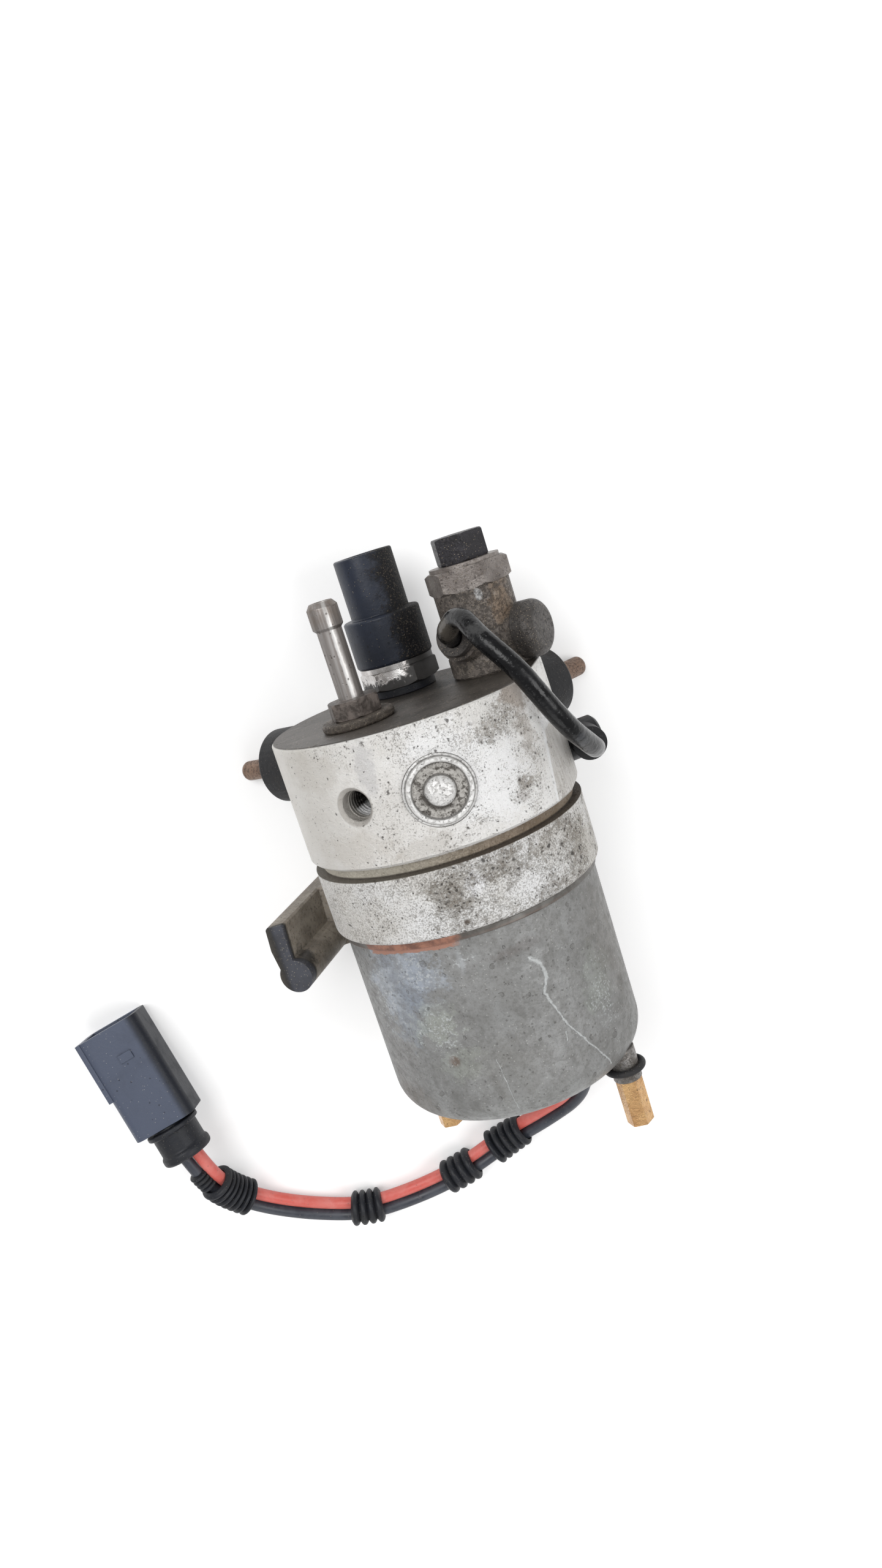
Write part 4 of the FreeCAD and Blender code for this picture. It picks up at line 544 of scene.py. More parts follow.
steelLooks = {  # clean, dull and dirty tones, metallic, roughness, shares of grime and grit, cloud size
    "bare": ((158, 156, 154), (112, 106, 100), (62, 56, 50), 0.7, 0.36, 0.45, 0.06, 220.0),
    "tower": ((124, 116, 109), (86, 79, 73), (34, 30, 27), 0.2, 0.5, 0.48, 0.3, 150.0),
    "towerLight": ((152, 145, 140), (104, 96, 91), (50, 45, 41), 0.3, 0.42, 0.36, 0.2, 200.0),
    "capNut": ((52, 50, 55), (38, 36, 39), (14, 13, 13), 0.3, 0.36, 0.42, 0.2, 200.0),
    "sidePlug": ((84, 80, 77), (64, 60, 57), (28, 25, 23), 0.3, 0.45, 0.42, 0.26, 180.0),
    "washer": ((118, 109, 99), (88, 80, 72), (50, 45, 40), 0.3, 0.5, 0.5, 0.2, 200.0),
    "bright": ((205, 204, 206), (170, 168, 166), (120, 116, 110), 0.95, 0.2, 0.15, 0.01, 220.0),
    "ferrite": ((52, 52, 54), (42, 42, 44), (30, 30, 32), 0.1, 0.6, 0.3, 0.02, 220.0),
    "carbon": ((44, 44, 46), (34, 34, 36), (24, 24, 26), 0.2, 0.5, 0.3, 0.01, 220.0),
    "brass": ((232, 190, 134), (196, 150, 102), (108, 82, 60), 0.65, 0.22, 0.38, 0.03, 150.0),
    "copper": ((176, 112, 86), (140, 88, 68), (84, 58, 48), 0.7, 0.4, 0.45, 0.06, 220.0),
    "stud": ((150, 124, 106), (122, 98, 84), (70, 58, 50), 0.45, 0.42, 0.45, 0.12, 260.0),
}
towerSpots = [
    ((22.3, 32.2, 3.0), (1.0, 1.6, 1.2), 0.6, 0.85, (184, 184, 184)),
    ((26.3, 31.2, 1.8), (1, 1.3, 1), 0.8, 0.6, (164, 158, 150)),
    ((27.7, 28.3, 0.9), (4, 7, 4), 1.0, 0.6, (136, 114, 92)),
    ((15, 17, 0), (3, 2, 4), 0.8, 0.5, (120, 112, 102)),
]


def steel(tree, point, look, spots=()):
    # metal in three tones: clean, dulled and dirty, with light and dark grit on it
    clean, dull, dirty, metallic, roughness, grime, gritCover, cloudSize = look
    first = cloudMask(tree, point, cloudSize, 0.5, 0.2)
    second = cloudMask(tree, point, cloudSize * 7.0, grime, 0.07)
    third = cloudMask(tree, point, cloudSize * 2.2, grime - 0.08, 0.06)
    grit = speckMask(tree, point, 2500.0, gritCover)
    colour = addSpots(tree, point, blendColour(tree, first, clean, dull), spots)
    colour = tint(tree, colour,
                  (second, 0.55, dirty),
                  (third, 0.45, dirty),
                  (grit, 0.5, (172, 158, 140)),
                  (speckMask(tree, point, 1900.0, gritCover), 0.6, (34, 31, 29)))
    rough = addUp(tree, (second, 0.2), (1.0, roughness))
    metal = addUp(tree, (second, -0.6 * metallic), (1.0, metallic))
    height = addUp(tree, (grit, 0.6), (second, -0.5), (noiseAt(tree, point, 1600.0), 0.9))
    return colour, rough, metal, height, 0.2


plugLook = {
    "azimuth": 1.6, "level": -0.9,
    # recess and dirt also give painted shade: on the recess floor, in the crescent at the peg's lower left
    # and in the crevices
    "silver": (232, 231, 229), "recess": (150, 145, 137), "dirt": (58, 52, 45),
    "floor": ((3.3, 3.6), (6.0, 5.7)), "shadow": ((2.8, 3.3), (4.6, 3.8)),  # spans from the plug's axis
    "shadowSide": (-1.4, -3.4),  # span towards the lower left
    "crevices": ((3.45, 0.18), (5.95, 0.16), (7.25, 0.12), (7.85, 0.08)),  # radius and width
}


def plugAlloy(tree, point, look):
    # valve plug: bright outer ring and peg, dirt on the recess floor, and painted shade there, in the step
    # crevices and in a crescent
    x, y, z = axesOf(tree, point)
    side = outward(tree, x, z, look["azimuth"] + 90)
    rise = calc(tree, "SUBTRACT", y, look["level"] * mm)
    away = lengthOf(tree, side, rise)
    crust = cloudMask(tree, point, 1500.0, 0.42, 0.08)
    floor = band(tree, away, *look["floor"])
    dirt = cloudMask(tree, point, 900.0, 0.46, 0.06)
    lowSide = step(tree, addUp(tree, (side, 0.8), (rise, 1.0)), look["shadowSide"])
    crescent = times(tree, lowSide, band(tree, away, *look["shadow"]))
    rings = []
    for radius, width in look["crevices"]:
        off = calc(tree, "ABSOLUTE", calc(tree, "SUBTRACT", away, radius * mm))
        rings.append(step(tree, off, (1.6 * width, 0.4 * width)))
    dark = most(tree, crescent, times(tree, most(tree, *rings), 0.75))
    holes = pitted(tree, point, 1900.0, 0.4)
    colour = tint(tree, look["silver"],
                  (crust, 0.35, (150, 143, 134)),
                  (floor, 0.7, look["recess"]),
                  (times(tree, dirt, floor), 0.85, look["dirt"]),
                  (dark, 0.85, look["dirt"]),
                  (holes["Mask"], 0.6, look["dirt"]))
    rough = addUp(tree, (floor, 0.15), (1.0, 0.34))
    metal = addUp(tree, (floor, -0.2), (1.0, 0.35))
    height = addUp(tree, (holes["Height"], 0.8), (crust, -0.5), (noiseAt(tree, point, 1500.0), 1.0))
    return colour, rough, metal, height, 0.24


nippleLook = {
    "tube": (164, 160, 158), "shade": (140, 134, 130), "hex": (112, 103, 97), "hexDirt": (62, 55, 50),
    # painted shade at both sides of the tube, and a painted highlight line along it
    "darkLeft": (-12.5, -13.7), "darkRight": (-10.0, -9.0),  # spans of x
    "lit": ((-11.0, -10.6), (-9.8, -10.2)), "bead": (36.0, 39.5), "hexTop": (20.4, 20.1),  # of x, y and y
}


def nippleSteel(tree, point, look):
    # drawn steel tube with long wiped streaks, painted shade at both sides and a painted highlight line,
    # dark hexagon below it, brown tinge on the bead
    x, y, z = axesOf(tree, point)
    streaks = spread(tree, stretched(tree, point, (1500.0, 60.0, 1500.0)), 0.35, 0.65)
    across = addUp(tree, (x, 1.0), (noiseAt(tree, point, 900.0), 0.0005))
    shaded = most(tree, step(tree, across, look["darkLeft"]), step(tree, across, look["darkRight"]))
    holes = pitted(tree, point, 1500.0, 0.16)["Mask"]
    browned = times(tree, step(tree, y, look["bead"]), cloudMask(tree, point, 300.0, 0.5, 0.2))
    colour = tint(tree, blendColour(tree, streaks, look["tube"], look["shade"]),
                  (shaded, 0.6, (84, 76, 70)),
                  (band(tree, across, *look["lit"]), 0.7, (235, 234, 232)),
                  (holes, 0.7, (58, 52, 47)),
                  (browned, 0.6, (112, 98, 86)))
    onHex = step(tree, y, look["hexTop"])
    dirt = cloudMask(tree, point, 420.0, 0.5, 0.12)
    colour = blendColour(tree, onHex, colour, blendColour(tree, dirt, look["hex"], look["hexDirt"]))
    rough = addUp(tree, (onHex, 0.12), (holes, 0.2), (streaks, 0.08), (1.0, 0.36))
    metal = addUp(tree, (onHex, -0.3), (holes, -0.3), (1.0, 0.5))
    height = addUp(tree, (holes, -0.8), (streaks, 0.2), (times(tree, dirt, onHex), 0.7))
    return colour, rough, metal, height, 0.1


plasticLooks = {  # body, dust and grit tones, roughness, shares of dust and grit, grain size and depth (mm)
    "connector": ((82, 89, 106), (72, 78, 93), (176, 176, 178), 0.42, 0.35, 0.05, 1400.0, 0.05),
    "rubber": ((38, 38, 40), (58, 55, 52), (120, 114, 106), 0.55, 0.35, 0.16, 900.0, 0.16),
    "sleeve": ((34, 36, 42), (50, 50, 50), (120, 116, 110), 0.45, 0.4, 0.12, 900.0, 0.1),
    "brushPlate": ((70, 62, 50), (56, 50, 42), (120, 112, 98), 0.5, 0.35, 0.02, 1400.0, 0.03),
    "pipe": ((8, 8, 10), (16, 17, 21), (96, 98, 100), 0.2, 0.4, 0.05, 700.0, 0.18),
    "elbow": ((22, 22, 25), (40, 40, 42), (120, 118, 114), 0.4, 0.4, 0.08, 900.0, 0.06),
}
# painted shade on the connector's rounded right side: a place on its middle line, the way across it, and the
# span
rightSide = {"from": (-94.2, -77.2), "across": (0.9744, 0.2250), "span": (5.4, 7.6)}
pipeSpots = [
    ((13.2, 28.4, 12.2), (4, 4, 5), 0.6, 0.8, (98, 92, 84)),
    ((18.6, 26.5, 22.5), (2.6, 3, 3), 1.2, 0.5, (92, 92, 92)),
    ((33, -2, 20), (3, 2, 4), 1.4, 0.4, (70, 72, 78)),
]


def plastic(tree, point, look, side=None, spots=()):
    # moulded plastic or rubber: faint grain, dust in patches and loose grit, and painted shade on a side
    # where one is given
    body, dusty, gritTone, roughness, dustCover, gritCover, grain, depth = look
    dust = cloudMask(tree, point, 160.0, dustCover, 0.2)
    grit = speckMask(tree, point, 2500.0, gritCover)
    colour = tint(tree, body,
                  (dust, 0.75, dusty),
                  (grit, 0.45, gritTone),
                  (speckMask(tree, point, 1400.0, gritCover * 0.6), 0.6, (20, 19, 20)))
    colour = addSpots(tree, point, colour, spots)
    if side is not None:
        # painted shade darkening the given side
        x, y, z = axesOf(tree, point)
        offset = -float(np.dot(side["from"], side["across"])) * mm
        reached = addUp(tree, (x, side["across"][0]), (y, side["across"][1]), (1.0, offset))
        colour = tint(tree, colour, (step(tree, reached, side["span"]), 0.9, (20, 22, 28)))
    rough = addUp(tree, (dust, 0.25), (1.0, roughness))
    height = addUp(tree, (noiseAt(tree, point, grain, 2.0), 1.0), (grit, 1.5))
    return colour, rough, 0.0, height, depth


switchLook = {
    "middle": 0.2, "soot": (-0.6, 4.2),  # x of the switch, and the span from there of soot and painted shade
    "clean": (40, 46, 60), "sheen": (31, 35, 45), "oily": (12, 11, 12), "sand": (104, 95, 84),
}


def sootAndShadeSide(tree, point, middle, span):
    # how far a spot is on the right-hand side of an upright fitting, darkened by soot and painted shade,
    # with a ragged border
    shifted = calc(tree, "ADD", axesOf(tree, point)[0], stir(tree, point, 380.0, 0.012, 6.0, 0.7))
    return step(tree, shifted, (middle + span[0], middle + span[1]))


def switchPlastic(tree, point, look):
    # matt black moulding, blue-grey where clean, its right half darkened by oily grit and painted shade
    cloud = cloudMask(tree, point, 140.0, 0.45, 0.25)
    soot = sootAndShadeSide(tree, point, look["middle"], look["soot"])
    fewGrains = speckMask(tree, point, 2500.0, 0.05)
    manyGrains = times(tree, cloudMask(tree, point, 2300.0, 0.42, 0.04), soot)
    colour = tint(tree, blendColour(tree, cloud, look["clean"], look["sheen"]),
                  (soot, 0.92, look["oily"]),
                  (fewGrains, 0.6, (132, 124, 110)),
                  (manyGrains, 0.75, look["sand"]),
                  (speckMask(tree, point, 1200.0, 0.08), 0.64, (24, 23, 24)))
    rough = addUp(tree, (soot, 0.3), (cloud, 0.08), (1.0, 0.36))
    lumps = times(tree, noiseAt(tree, point, 1100.0, 5.0), addUp(tree, (soot, 1.6), (1.0, 0.3)))
    height = addUp(tree, (fewGrains, 0.6), (manyGrains, 0.8), (lumps, 1.0))
    return colour, rough, 0.0, height, 0.22


hexLook = {
    "plated": (224, 221, 219), "dull": (176, 170, 166), "black": (26, 24, 23),
    "soot": (0.8, 2.6), "foot": (19.2, 17.8),  # spans of x from the switch's middle, and of y
    # wiped is a painted highlight: a white facet at the left
    "wiped": [((-0.2, 19.4, -6.5), (1.6, 2.2, 4), 0.25, 0.95, (253, 252, 250))],
}


def switchSteel(tree, point, look):
    # plated hexagon with a painted highlight on a facet at the left, black from soot and painted shade at
    # the right, black with soot along its foot
    cloud = cloudMask(tree, point, 300.0, 0.45, 0.2)
    colour = addSpots(tree, point, blendColour(tree, cloud, look["plated"], look["dull"]), look["wiped"])
    level = calc(tree, "ADD", axesOf(tree, point)[1], stir(tree, point, 700.0, 0.007, 5.0))
    soot = sootAndShadeSide(tree, point, switchLook["middle"], look["soot"])
    dark = most(tree, soot, step(tree, level, look["foot"]))
    colour = tint(tree, colour, (dark, 0.93, look["black"]))
    rough = addUp(tree, (dark, 0.25), (1.0, 0.26))
    metal = addUp(tree, (dark, -0.6), (1.0, 0.75))
    return colour, rough, metal, addUp(tree, (dark, 0.6), (cloud, 0.2)), 0.1


footLook = {
    # wall tones are raised as painted light for a wall in shade; black is painted shadow on the line and the
    # spot by the bead
    "face": (72, 74, 82), "faceDull": (62, 63, 69), "wall": (164, 155, 143), "wallDull": (122, 114, 104),
    "black": (18, 18, 19), "faceStart": (-1.4, -0.9), "line": ((-2.2, -1.4), (-0.6, -1.2)),  # spans of z
    "grease": ((-41.6, -37.5, -3.0), (3.4, 3.6, 3.5), 0.7),
}


def footRubber(tree, point, look):
    # hard rubber: blue-grey upper face with light specks, dusty brown wall lightened as painted light for
    # its shade, painted shadow under the face's edge and by the bead
    z = axesOf(tree, point)[2]
    dust = cloudMask(tree, point, 170.0, 0.5, 0.22)
    grains = speckMask(tree, point, 2200.0, 0.3)
    wall = tint(tree, blendColour(tree, dust, look["wall"], look["wallDull"]),
                (cloudMask(tree, point, 1300.0, 0.42, 0.06), 0.5, (48, 43, 38)),
                (grains, 0.5, (168, 152, 126)))
    face = blendColour(tree, cloudMask(tree, point, 260.0, 0.5, 0.2), look["face"], look["faceDull"])
    face = tint(tree, face, (grains, 0.55, (142, 136, 126)))
    colour = blendColour(tree, step(tree, z, look["faceStart"]), wall, face)
    grease = spotMask(tree, point, *look["grease"])
    colour = tint(tree, colour, (most(tree, grease, band(tree, z, *look["line"])), 0.85, look["black"]))
    rough = addUp(tree, (dust, 0.12), (grease, -0.15), (1.0, 0.46))
    height = addUp(tree, (noiseAt(tree, point, 900.0), 0.6), (dust, 0.5))
    return colour, rough, 0.0, height, 0.18


# Copper seal ring, bare between two azimuths; the strip is where its copper shows on the can's rim
ringLook = {
    "start": -54.5, "end": -9.5, "low": (-33.0, -33.5), "strip": (-35.0, -34.8),  # azimuths, spans of y
    "copper": (172, 124, 104), "dull": (126, 92, 80), "grey": (112, 110, 106),
}
canLook = {
    "base": (150, 150, 149), "cloud": (124, 124, 122), "fine": (94, 93, 90),
    # the right side's span is painted shade
    "rightSide": (14, 29),  # span of x
    "blotches": [
        ((-21, -42, 22), (10, 9, 10), 0.8, 0.6, (154, 163, 178)),
        ((-16, -39, 26), (6, 6, 7), 1.4, 0.6, (176, 184, 196)),
        ((-21.5, -50, 21.5), (6, 8, 8), 1.1, 0.5, (152, 162, 176)),
        ((-24, -44, 18), (3, 7, 8), 1.4, 0.5, (190, 196, 204)),
        ((-15.5, -53.5, 26), (5.5, 6, 8), 1.2, 0.5, (172, 177, 166)),
        ((-13.5, -62, 27), (6, 5, 5), 1.2, 0.4, (164, 169, 158)),
        ((6.4, -39.7, 29.7), (7, 1.6, 5), 0.8, 0.5, (96, 88, 84)),
        ((-6.1, -38.7, 29.7), (1.1, 3.2, 2), 0.5, 0.5, (188, 192, 196)),
        ((21.3, -55.8, 21.6), (5, 8, 8), 1.0, 0.35, (158, 166, 154)),
        ((27, -50, 14), (7, 16, 10), 0.8, 0.45, (116, 111, 104)),
        ((-26, -74, 14), (7, 7, 12), 0.8, 0.5, (112, 105, 96)),
        ((0, -76, 29), (20, 4, 14), 0.8, 0.3, (158, 160, 158)),
        ((-4, -66, 30), (9, 8, 6), 0.8, 0.25, (130, 128, 122)),
        ((19.7, -77, 23), (4, 3, 6), 0.7, 0.5, (92, 86, 80)),
        ((-14.3, -61.7, 26.7), (1.6, 1.6, 1.6), 0.4, 0.85, (112, 92, 78)),
    ],
    "marks": [  # azimuth and level of both ends, width (mm)
        (15.5, -42.9, 19.8, -45.2, 1.3), (19.8, -45.2, 20.3, -48.6, 0.95), (20.3, -48.6, 17.4, -51.6, 0.95),
        (17.4, -51.6, 19.5, -55.8, 0.75), (19.5, -55.8, 23.1, -60.9, 0.6), (23.1, -60.9, 30.3, -67.4, 0.5),
        (30.3, -67.4, 39.7, -75.4, 0.5), (-10.1, -62.7, -8.6, -70.0, 0.26), (-8.6, -70.0, -7.7, -75.7, 0.24),
        (21.4, -62.2, 20.6, -64.2, 0.4),
    ],
    "flecked": [  # middle, reach (mm) and raggedness
        ((-17, -40, 25.5), (7, 5, 7), 1.0),
        ((-15.5, -55, 26), (6, 7, 7), 1.0),
        ((-25, -46, 17), (4, 9, 8), 1.0),
        ((22, -60, 21), (4, 9, 6), 1.2),
        ((-6, -38.5, 30), (3, 2, 3), 1.0),
    ],
    "dents": [  # azimuth, level, reach round and along, depth (mm)
        (-28.2, -61.7, 1.25, 1.15, 0.45), (60.4, -61.4, 1.6, 2.6, 0.35),
    ],
}


def canZinc(tree, point, look, ring):
    # grey zinc finish: bluish and greenish patches, pale flecks, small craters with dark rims, scratches,
    # painted shade to the right
    # and the ring's copper showing at the front rim
    x, y, z = axesOf(tree, point)
    cloud = cloudMask(tree, point, 60.0, 0.5, 0.25)
    fine = cloudMask(tree, point, 520.0, 0.46, 0.15)
    veil = spread(tree, stretched(tree, point, (260.0, 120.0, 260.0), 6.0), 0.36, 0.66)
    colour = addSpots(tree, point, blendColour(tree, cloud, look["base"], look["cloud"]), look["blotches"])
    colour = tint(tree, colour,
                  (fine, 0.42, look["fine"]),
                  (veil, 0.22, (178, 180, 181)),
                  (cloudMask(tree, point, 1700.0, 0.44, 0.08), 0.34, (98, 96, 92)),
                  (cloudMask(tree, point, 2300.0, 0.3, 0.06), 0.4, (190, 192, 192)))
    fleck = cloudMask(tree, point, 1700.0, 0.44, 0.05)
    for middle, reach, ragged in look["flecked"]:
        near = times(tree, fleck, spotMask(tree, point, middle, reach, ragged))
        colour = tint(tree, colour, (near, 0.6, (214, 218, 220)))
    craters = pitted(tree, point, 560.0, 0.08)
    rims = times(tree, spread(tree, craters["Mask"], 0.02, 0.3), spread(tree, craters["Mask"], 0.7, 0.35))
    small = pitted(tree, point, 1400.0, 0.16)
    scratches = []
    for startAngle, startLevel, endAngle, endLevel, width in look["marks"]:
        start = (math.radians(startAngle) * canRadius * mm, startLevel * mm, 0)
        end = (math.radians(endAngle) * canRadius * mm, endLevel * mm, 0)
        mark = {"Start": start, "End": end, "Width": width * 0.6 * mm}
        scratches.append(useGroup(tree, scratch, mark)["Mask"])
    lines = most(tree, *scratches)
    broken = addUp(tree, (cloudMask(tree, point, 1500.0, 0.6, 0.1), 0.5), (1.0, 0.35))
    angle = raggedAzimuth(tree, point)
    level = calc(tree, "ADD", y, stir(tree, point, 500.0, 0.0016))
    start, end = math.radians(ring["start"]), math.radians(ring["end"])
    strip = times(tree, spread(tree, angle, start, start + 0.05),
                  spread(tree, angle, end + 0.02, end - 0.05))
    # the first layer is painted shade towards the can's right side
    colour = tint(tree, colour,
                  (step(tree, x, look["rightSide"]), 0.4, (104, 102, 98)),
                  (craters["Mask"], 0.35, (96, 94, 90)),
                  (rims, 0.5, (66, 64, 60)),
                  (small["Mask"], 0.5, (84, 82, 78)),
                  (speckMask(tree, point, 2300.0, 0.06), 0.5, (196, 196, 192)),
                  (times(tree, lines, broken), 0.85, (198, 201, 201)),
                  (times(tree, strip, step(tree, level, ring["strip"])), 0.9, ring["copper"]))
    rough = addUp(tree, (fine, 0.14), (1.0, 0.46))
    height = addUp(tree, (craters["Height"], 1.2), (small["Height"], 0.7), (fine, 0.3), (lines, -0.6),
                   (noiseAt(tree, point, 1500.0), 0.6))
    return colour, rough, 0.25, height, 0.2


def ringCopper(tree, point, look):
    # copper seal ring: bare metal only where the paint is gone, between two azimuths, with ragged ends
    y = axesOf(tree, point)[1]
    angle = raggedAzimuth(tree, point)
    start, end = math.radians(look["start"]), math.radians(look["end"])
    bare = times(tree, spread(tree, angle, start - 0.02, start + 0.03),
                 spread(tree, angle, end + 0.04, end - 0.03))
    low = times(tree, step(tree, y, look["low"]), spread(tree, angle, 0.9, 0.5))
    bareMask = most(tree, bare, times(tree, low, 0.1))
    holes = pitted(tree, point, 520.0, 0.3)["Mask"]
    copper = blendColour(tree, cloudMask(tree, point, 420.0, 0.5, 0.12), look["copper"], look["dull"])
    copper = tint(tree, copper, (holes, 0.85, (92, 44, 34)))
    grey = blendColour(tree, cloudMask(tree, point, 300.0, 0.5, 0.15), look["grey"], (84, 80, 75))
    rough = addUp(tree, (holes, 0.2), (1.0, 0.42))
    metal = addUp(tree, (bareMask, 0.15), (1.0, 0.2))
    height = addUp(tree, (holes, -0.8), (noiseAt(tree, point, 1500.0), 0.4))
    return blendColour(tree, bareMask, grey, copper), rough, metal, height, 0.12


def wireCover(tree, point, tone, dustTone, roughness):
    # wire cover: smooth soft plastic with dust lying along it
    dust = cloudMask(tree, point, 240.0, 0.45, 0.2)
    grit = speckMask(tree, point, 1900.0, 0.06)
    colour = tint(tree, tone, (dust, 0.5, dustTone), (grit, 0.4, (120, 112, 104)))
    rough = addUp(tree, (dust, 0.2), (1.0, roughness))
    return colour, rough, 0.0, addUp(tree, (grit, 1.0), (dust, 0.3)), 0.05


matt = 0.35  # specular level of plastic and rubber
materials = {
    "head_alloy": makeMaterial("headAlloy", alloy, headLook, grooveLook, topLook, flatLook, holeLook),
    "flange_alloy": makeMaterial("collarAlloy", alloy, collarLook, grooveLook),
    "can_steel": makeMaterial("canFinish", canZinc, canLook, ringLook),
    "bare_steel": makeMaterial("bareSteel", steel, steelLooks["bare"]),
    "tower_steel": makeMaterial("towerSteel", steel, steelLooks["tower"], towerSpots),
    "bearing_steel": makeMaterial("bearingSteel", steel, steelLooks["bright"]),
    "copper": makeMaterial("windingCopper", steel, steelLooks["copper"]),
    "brass": makeMaterial("brassNut", steel, steelLooks["brass"]),
    "magnet": makeMaterial("ferrite", steel, steelLooks["ferrite"]),
    "carbon": makeMaterial("carbonBrush", steel, steelLooks["carbon"]),
    "black_rubber": makeMaterial("blackRubber", plastic, plasticLooks["rubber"], gloss=matt),
    "black_plastic": makeMaterial("brushPlatePlastic", plastic, plasticLooks["brushPlate"], gloss=matt),
    "pipe_black": makeMaterial("pipeCover", plastic, plasticLooks["pipe"], None, pipeSpots, gloss=matt),
    "connector_plastic": makeMaterial("connectorPlastic", plastic, plasticLooks["connector"], rightSide,
                                      gloss=matt),
    "red_cover": makeMaterial("redCover", wireCover, (214, 98, 88), (226, 150, 142), 0.4),
    "dark_cover": makeMaterial("darkCover", wireCover, (56, 59, 68), (92, 96, 104), 0.36),
    "blade_metal": makeMaterial("bladeMetal", steel, steelLooks["bright"]),
}
special = {
    "nipple": makeMaterial("nippleSteel", nippleSteel, nippleLook),
    "switch": makeMaterial("switchPlastic", switchPlastic, switchLook, gloss=matt),
    "switchHex": makeMaterial("switchHexSteel", switchSteel, hexLook),
    "capNut": makeMaterial("capNutSteel", steel, steelLooks["capNut"]),
    "collar": makeMaterial("collarSteel", steel, steelLooks["towerLight"]),
    "washer": makeMaterial("washerSteel", steel, steelLooks["washer"]),
    "stud": makeMaterial("studSteel", steel, steelLooks["stud"]),
    "sidePlug": makeMaterial("sidePlugSteel", steel, steelLooks["sidePlug"]),
    "plug": makeMaterial("plugAlloy", plugAlloy, plugLook),
    "sleeve": makeMaterial("sleeveRubber", plastic, plasticLooks["sleeve"], gloss=matt),
    "elbow": makeMaterial("elbowPlastic", plastic, plasticLooks["elbow"], gloss=matt),
    "foot": makeMaterial("footRubber", footRubber, footLook),
    "sealRing": makeMaterial("sealRing", ringCopper, ringLook),
}
slotOf = {entry["node"]: entry["material_slot"] for entry in frame["record"]["subparts"]}
bodyOf = {node: body for body, members in frame["record"]["behaviour"]["bodies"].items() for node in members}
print("materials made:", len(bpy.data.materials))


def setMaterial(piece, material):
    piece.data.materials.clear()
    piece.data.materials.append(material)


for name, piece in nodes.items():
    setMaterial(piece, materials[slotOf[name]])


def addPiece(name, data, material, node, replaced=True):
    # a new piece that rides with a node's body, takes its slot and usually stands for it
    piece = addObject(name, data)
    setMaterial(piece, material or materials[slotOf[node]])
    if replaced:
        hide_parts(node)
    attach(piece, bodyOf[node])
    return piece


def roundEdges(piece, width, sharp=30.0, segments=3):
    rounding = piece.modifiers.new("edges", "BEVEL")
    rounding.width = width * mm
    rounding.segments = segments
    rounding.limit_method = "ANGLE"
    rounding.angle_limit = math.radians(sharp)
    rounding.harden_normals = True
    rounding.use_clamp_overlap = True


def dressed(node, bevel=0.3, material=None, sharp=30.0, segments=3):
    # a smooth copy of a CAD node with its edges rounded: doubles merged, flat faces joined, then a bevel
    mesh = nodes[node].data.copy()
    mesh.name = node + "_dressed"
    work = bmesh.new()
    work.from_mesh(mesh)
    bmesh.ops.remove_doubles(work, verts=work.verts, dist=2e-6)
    bmesh.ops.dissolve_limit(work, angle_limit=math.radians(0.6), verts=work.verts, edges=work.edges)
    work.to_mesh(mesh)
    work.free()
    mesh.shade_smooth()
    mesh.set_sharp_from_angle(angle=math.radians(sharp))
    piece = addPiece(node + "_dressed", mesh, material, node)
    if bevel > 0:
        roundEdges(piece, bevel, sharp, segments)
    return piece


def putMesh(name, grid, sharp=40.0):
    # quads over a (rows, columns, 3) grid in mm; the columns go round, and end rows on the axis become poles
    rows, columns = grid.shape[:2]
    index = np.arange(rows * columns).reshape(rows, columns)
    index = np.hstack([index, index[:, :1]])
    corners = [index[:-1, :-1], index[:-1, 1:], index[1:, 1:], index[1:, :-1]]
    quads = np.stack(corners, axis=-1).reshape(-1, 4)
    mesh = bpy.data.meshes.new(name)
    mesh.from_pydata((grid.reshape(-1, 3) * mm).tolist(), [], quads.tolist())
    work = bmesh.new()
    work.from_mesh(mesh)
    bmesh.ops.remove_doubles(work, verts=work.verts, dist=1e-6)
    bmesh.ops.recalc_face_normals(work, faces=work.faces)
    if work.calc_volume(signed=True) < 0:
        bmesh.ops.reverse_faces(work, faces=work.faces)
    work.to_mesh(mesh)
    work.free()
    mesh.shade_smooth()
    mesh.set_sharp_from_angle(angle=math.radians(sharp))
    return mesh


def runOf(path):
    return np.concatenate([[0], np.cumsum(np.linalg.norm(np.diff(path, axis=0), axis=1))])


def cutPath(path, start, stop, count):
    # part of a path between two lengths along it, evenly spaced
    wanted = np.linspace(start, stop, count)
    return np.stack([np.interp(wanted, runOf(path), path[:, axis]) for axis in range(3)], axis=1)


def carried(path, radii, columns=40):
    # a circle carried along a path: centre + r (cos a side + sin a lift), the side kept from turning
    way = np.gradient(path, axis=0)
    way /= np.linalg.norm(way, axis=1, keepdims=True)
    side = np.cross(way, (0.0, 0.0, 1.0))
    side /= np.linalg.norm(side, axis=1, keepdims=True)
    lift = np.cross(way, side)
    angle = np.linspace(0, 2 * np.pi, columns, endpoint=False)
    ring = np.cos(angle)[None, :, None] * side[:, None] + np.sin(angle)[None, :, None] * lift[:, None]
    return path[:, None] + ring * np.asarray(radii)[:, None, None]


def pointsOf(curve):
    # the points Blender gives for a curve with no bevel, in mm
    bare = bpy.data.objects.new(curve.name + "_line", curve)
    line = bpy.data.meshes.new_from_object(bare)
    path = np.array([vertex.co for vertex in line.vertices]) / mm
    bpy.data.objects.remove(bare)
    return path


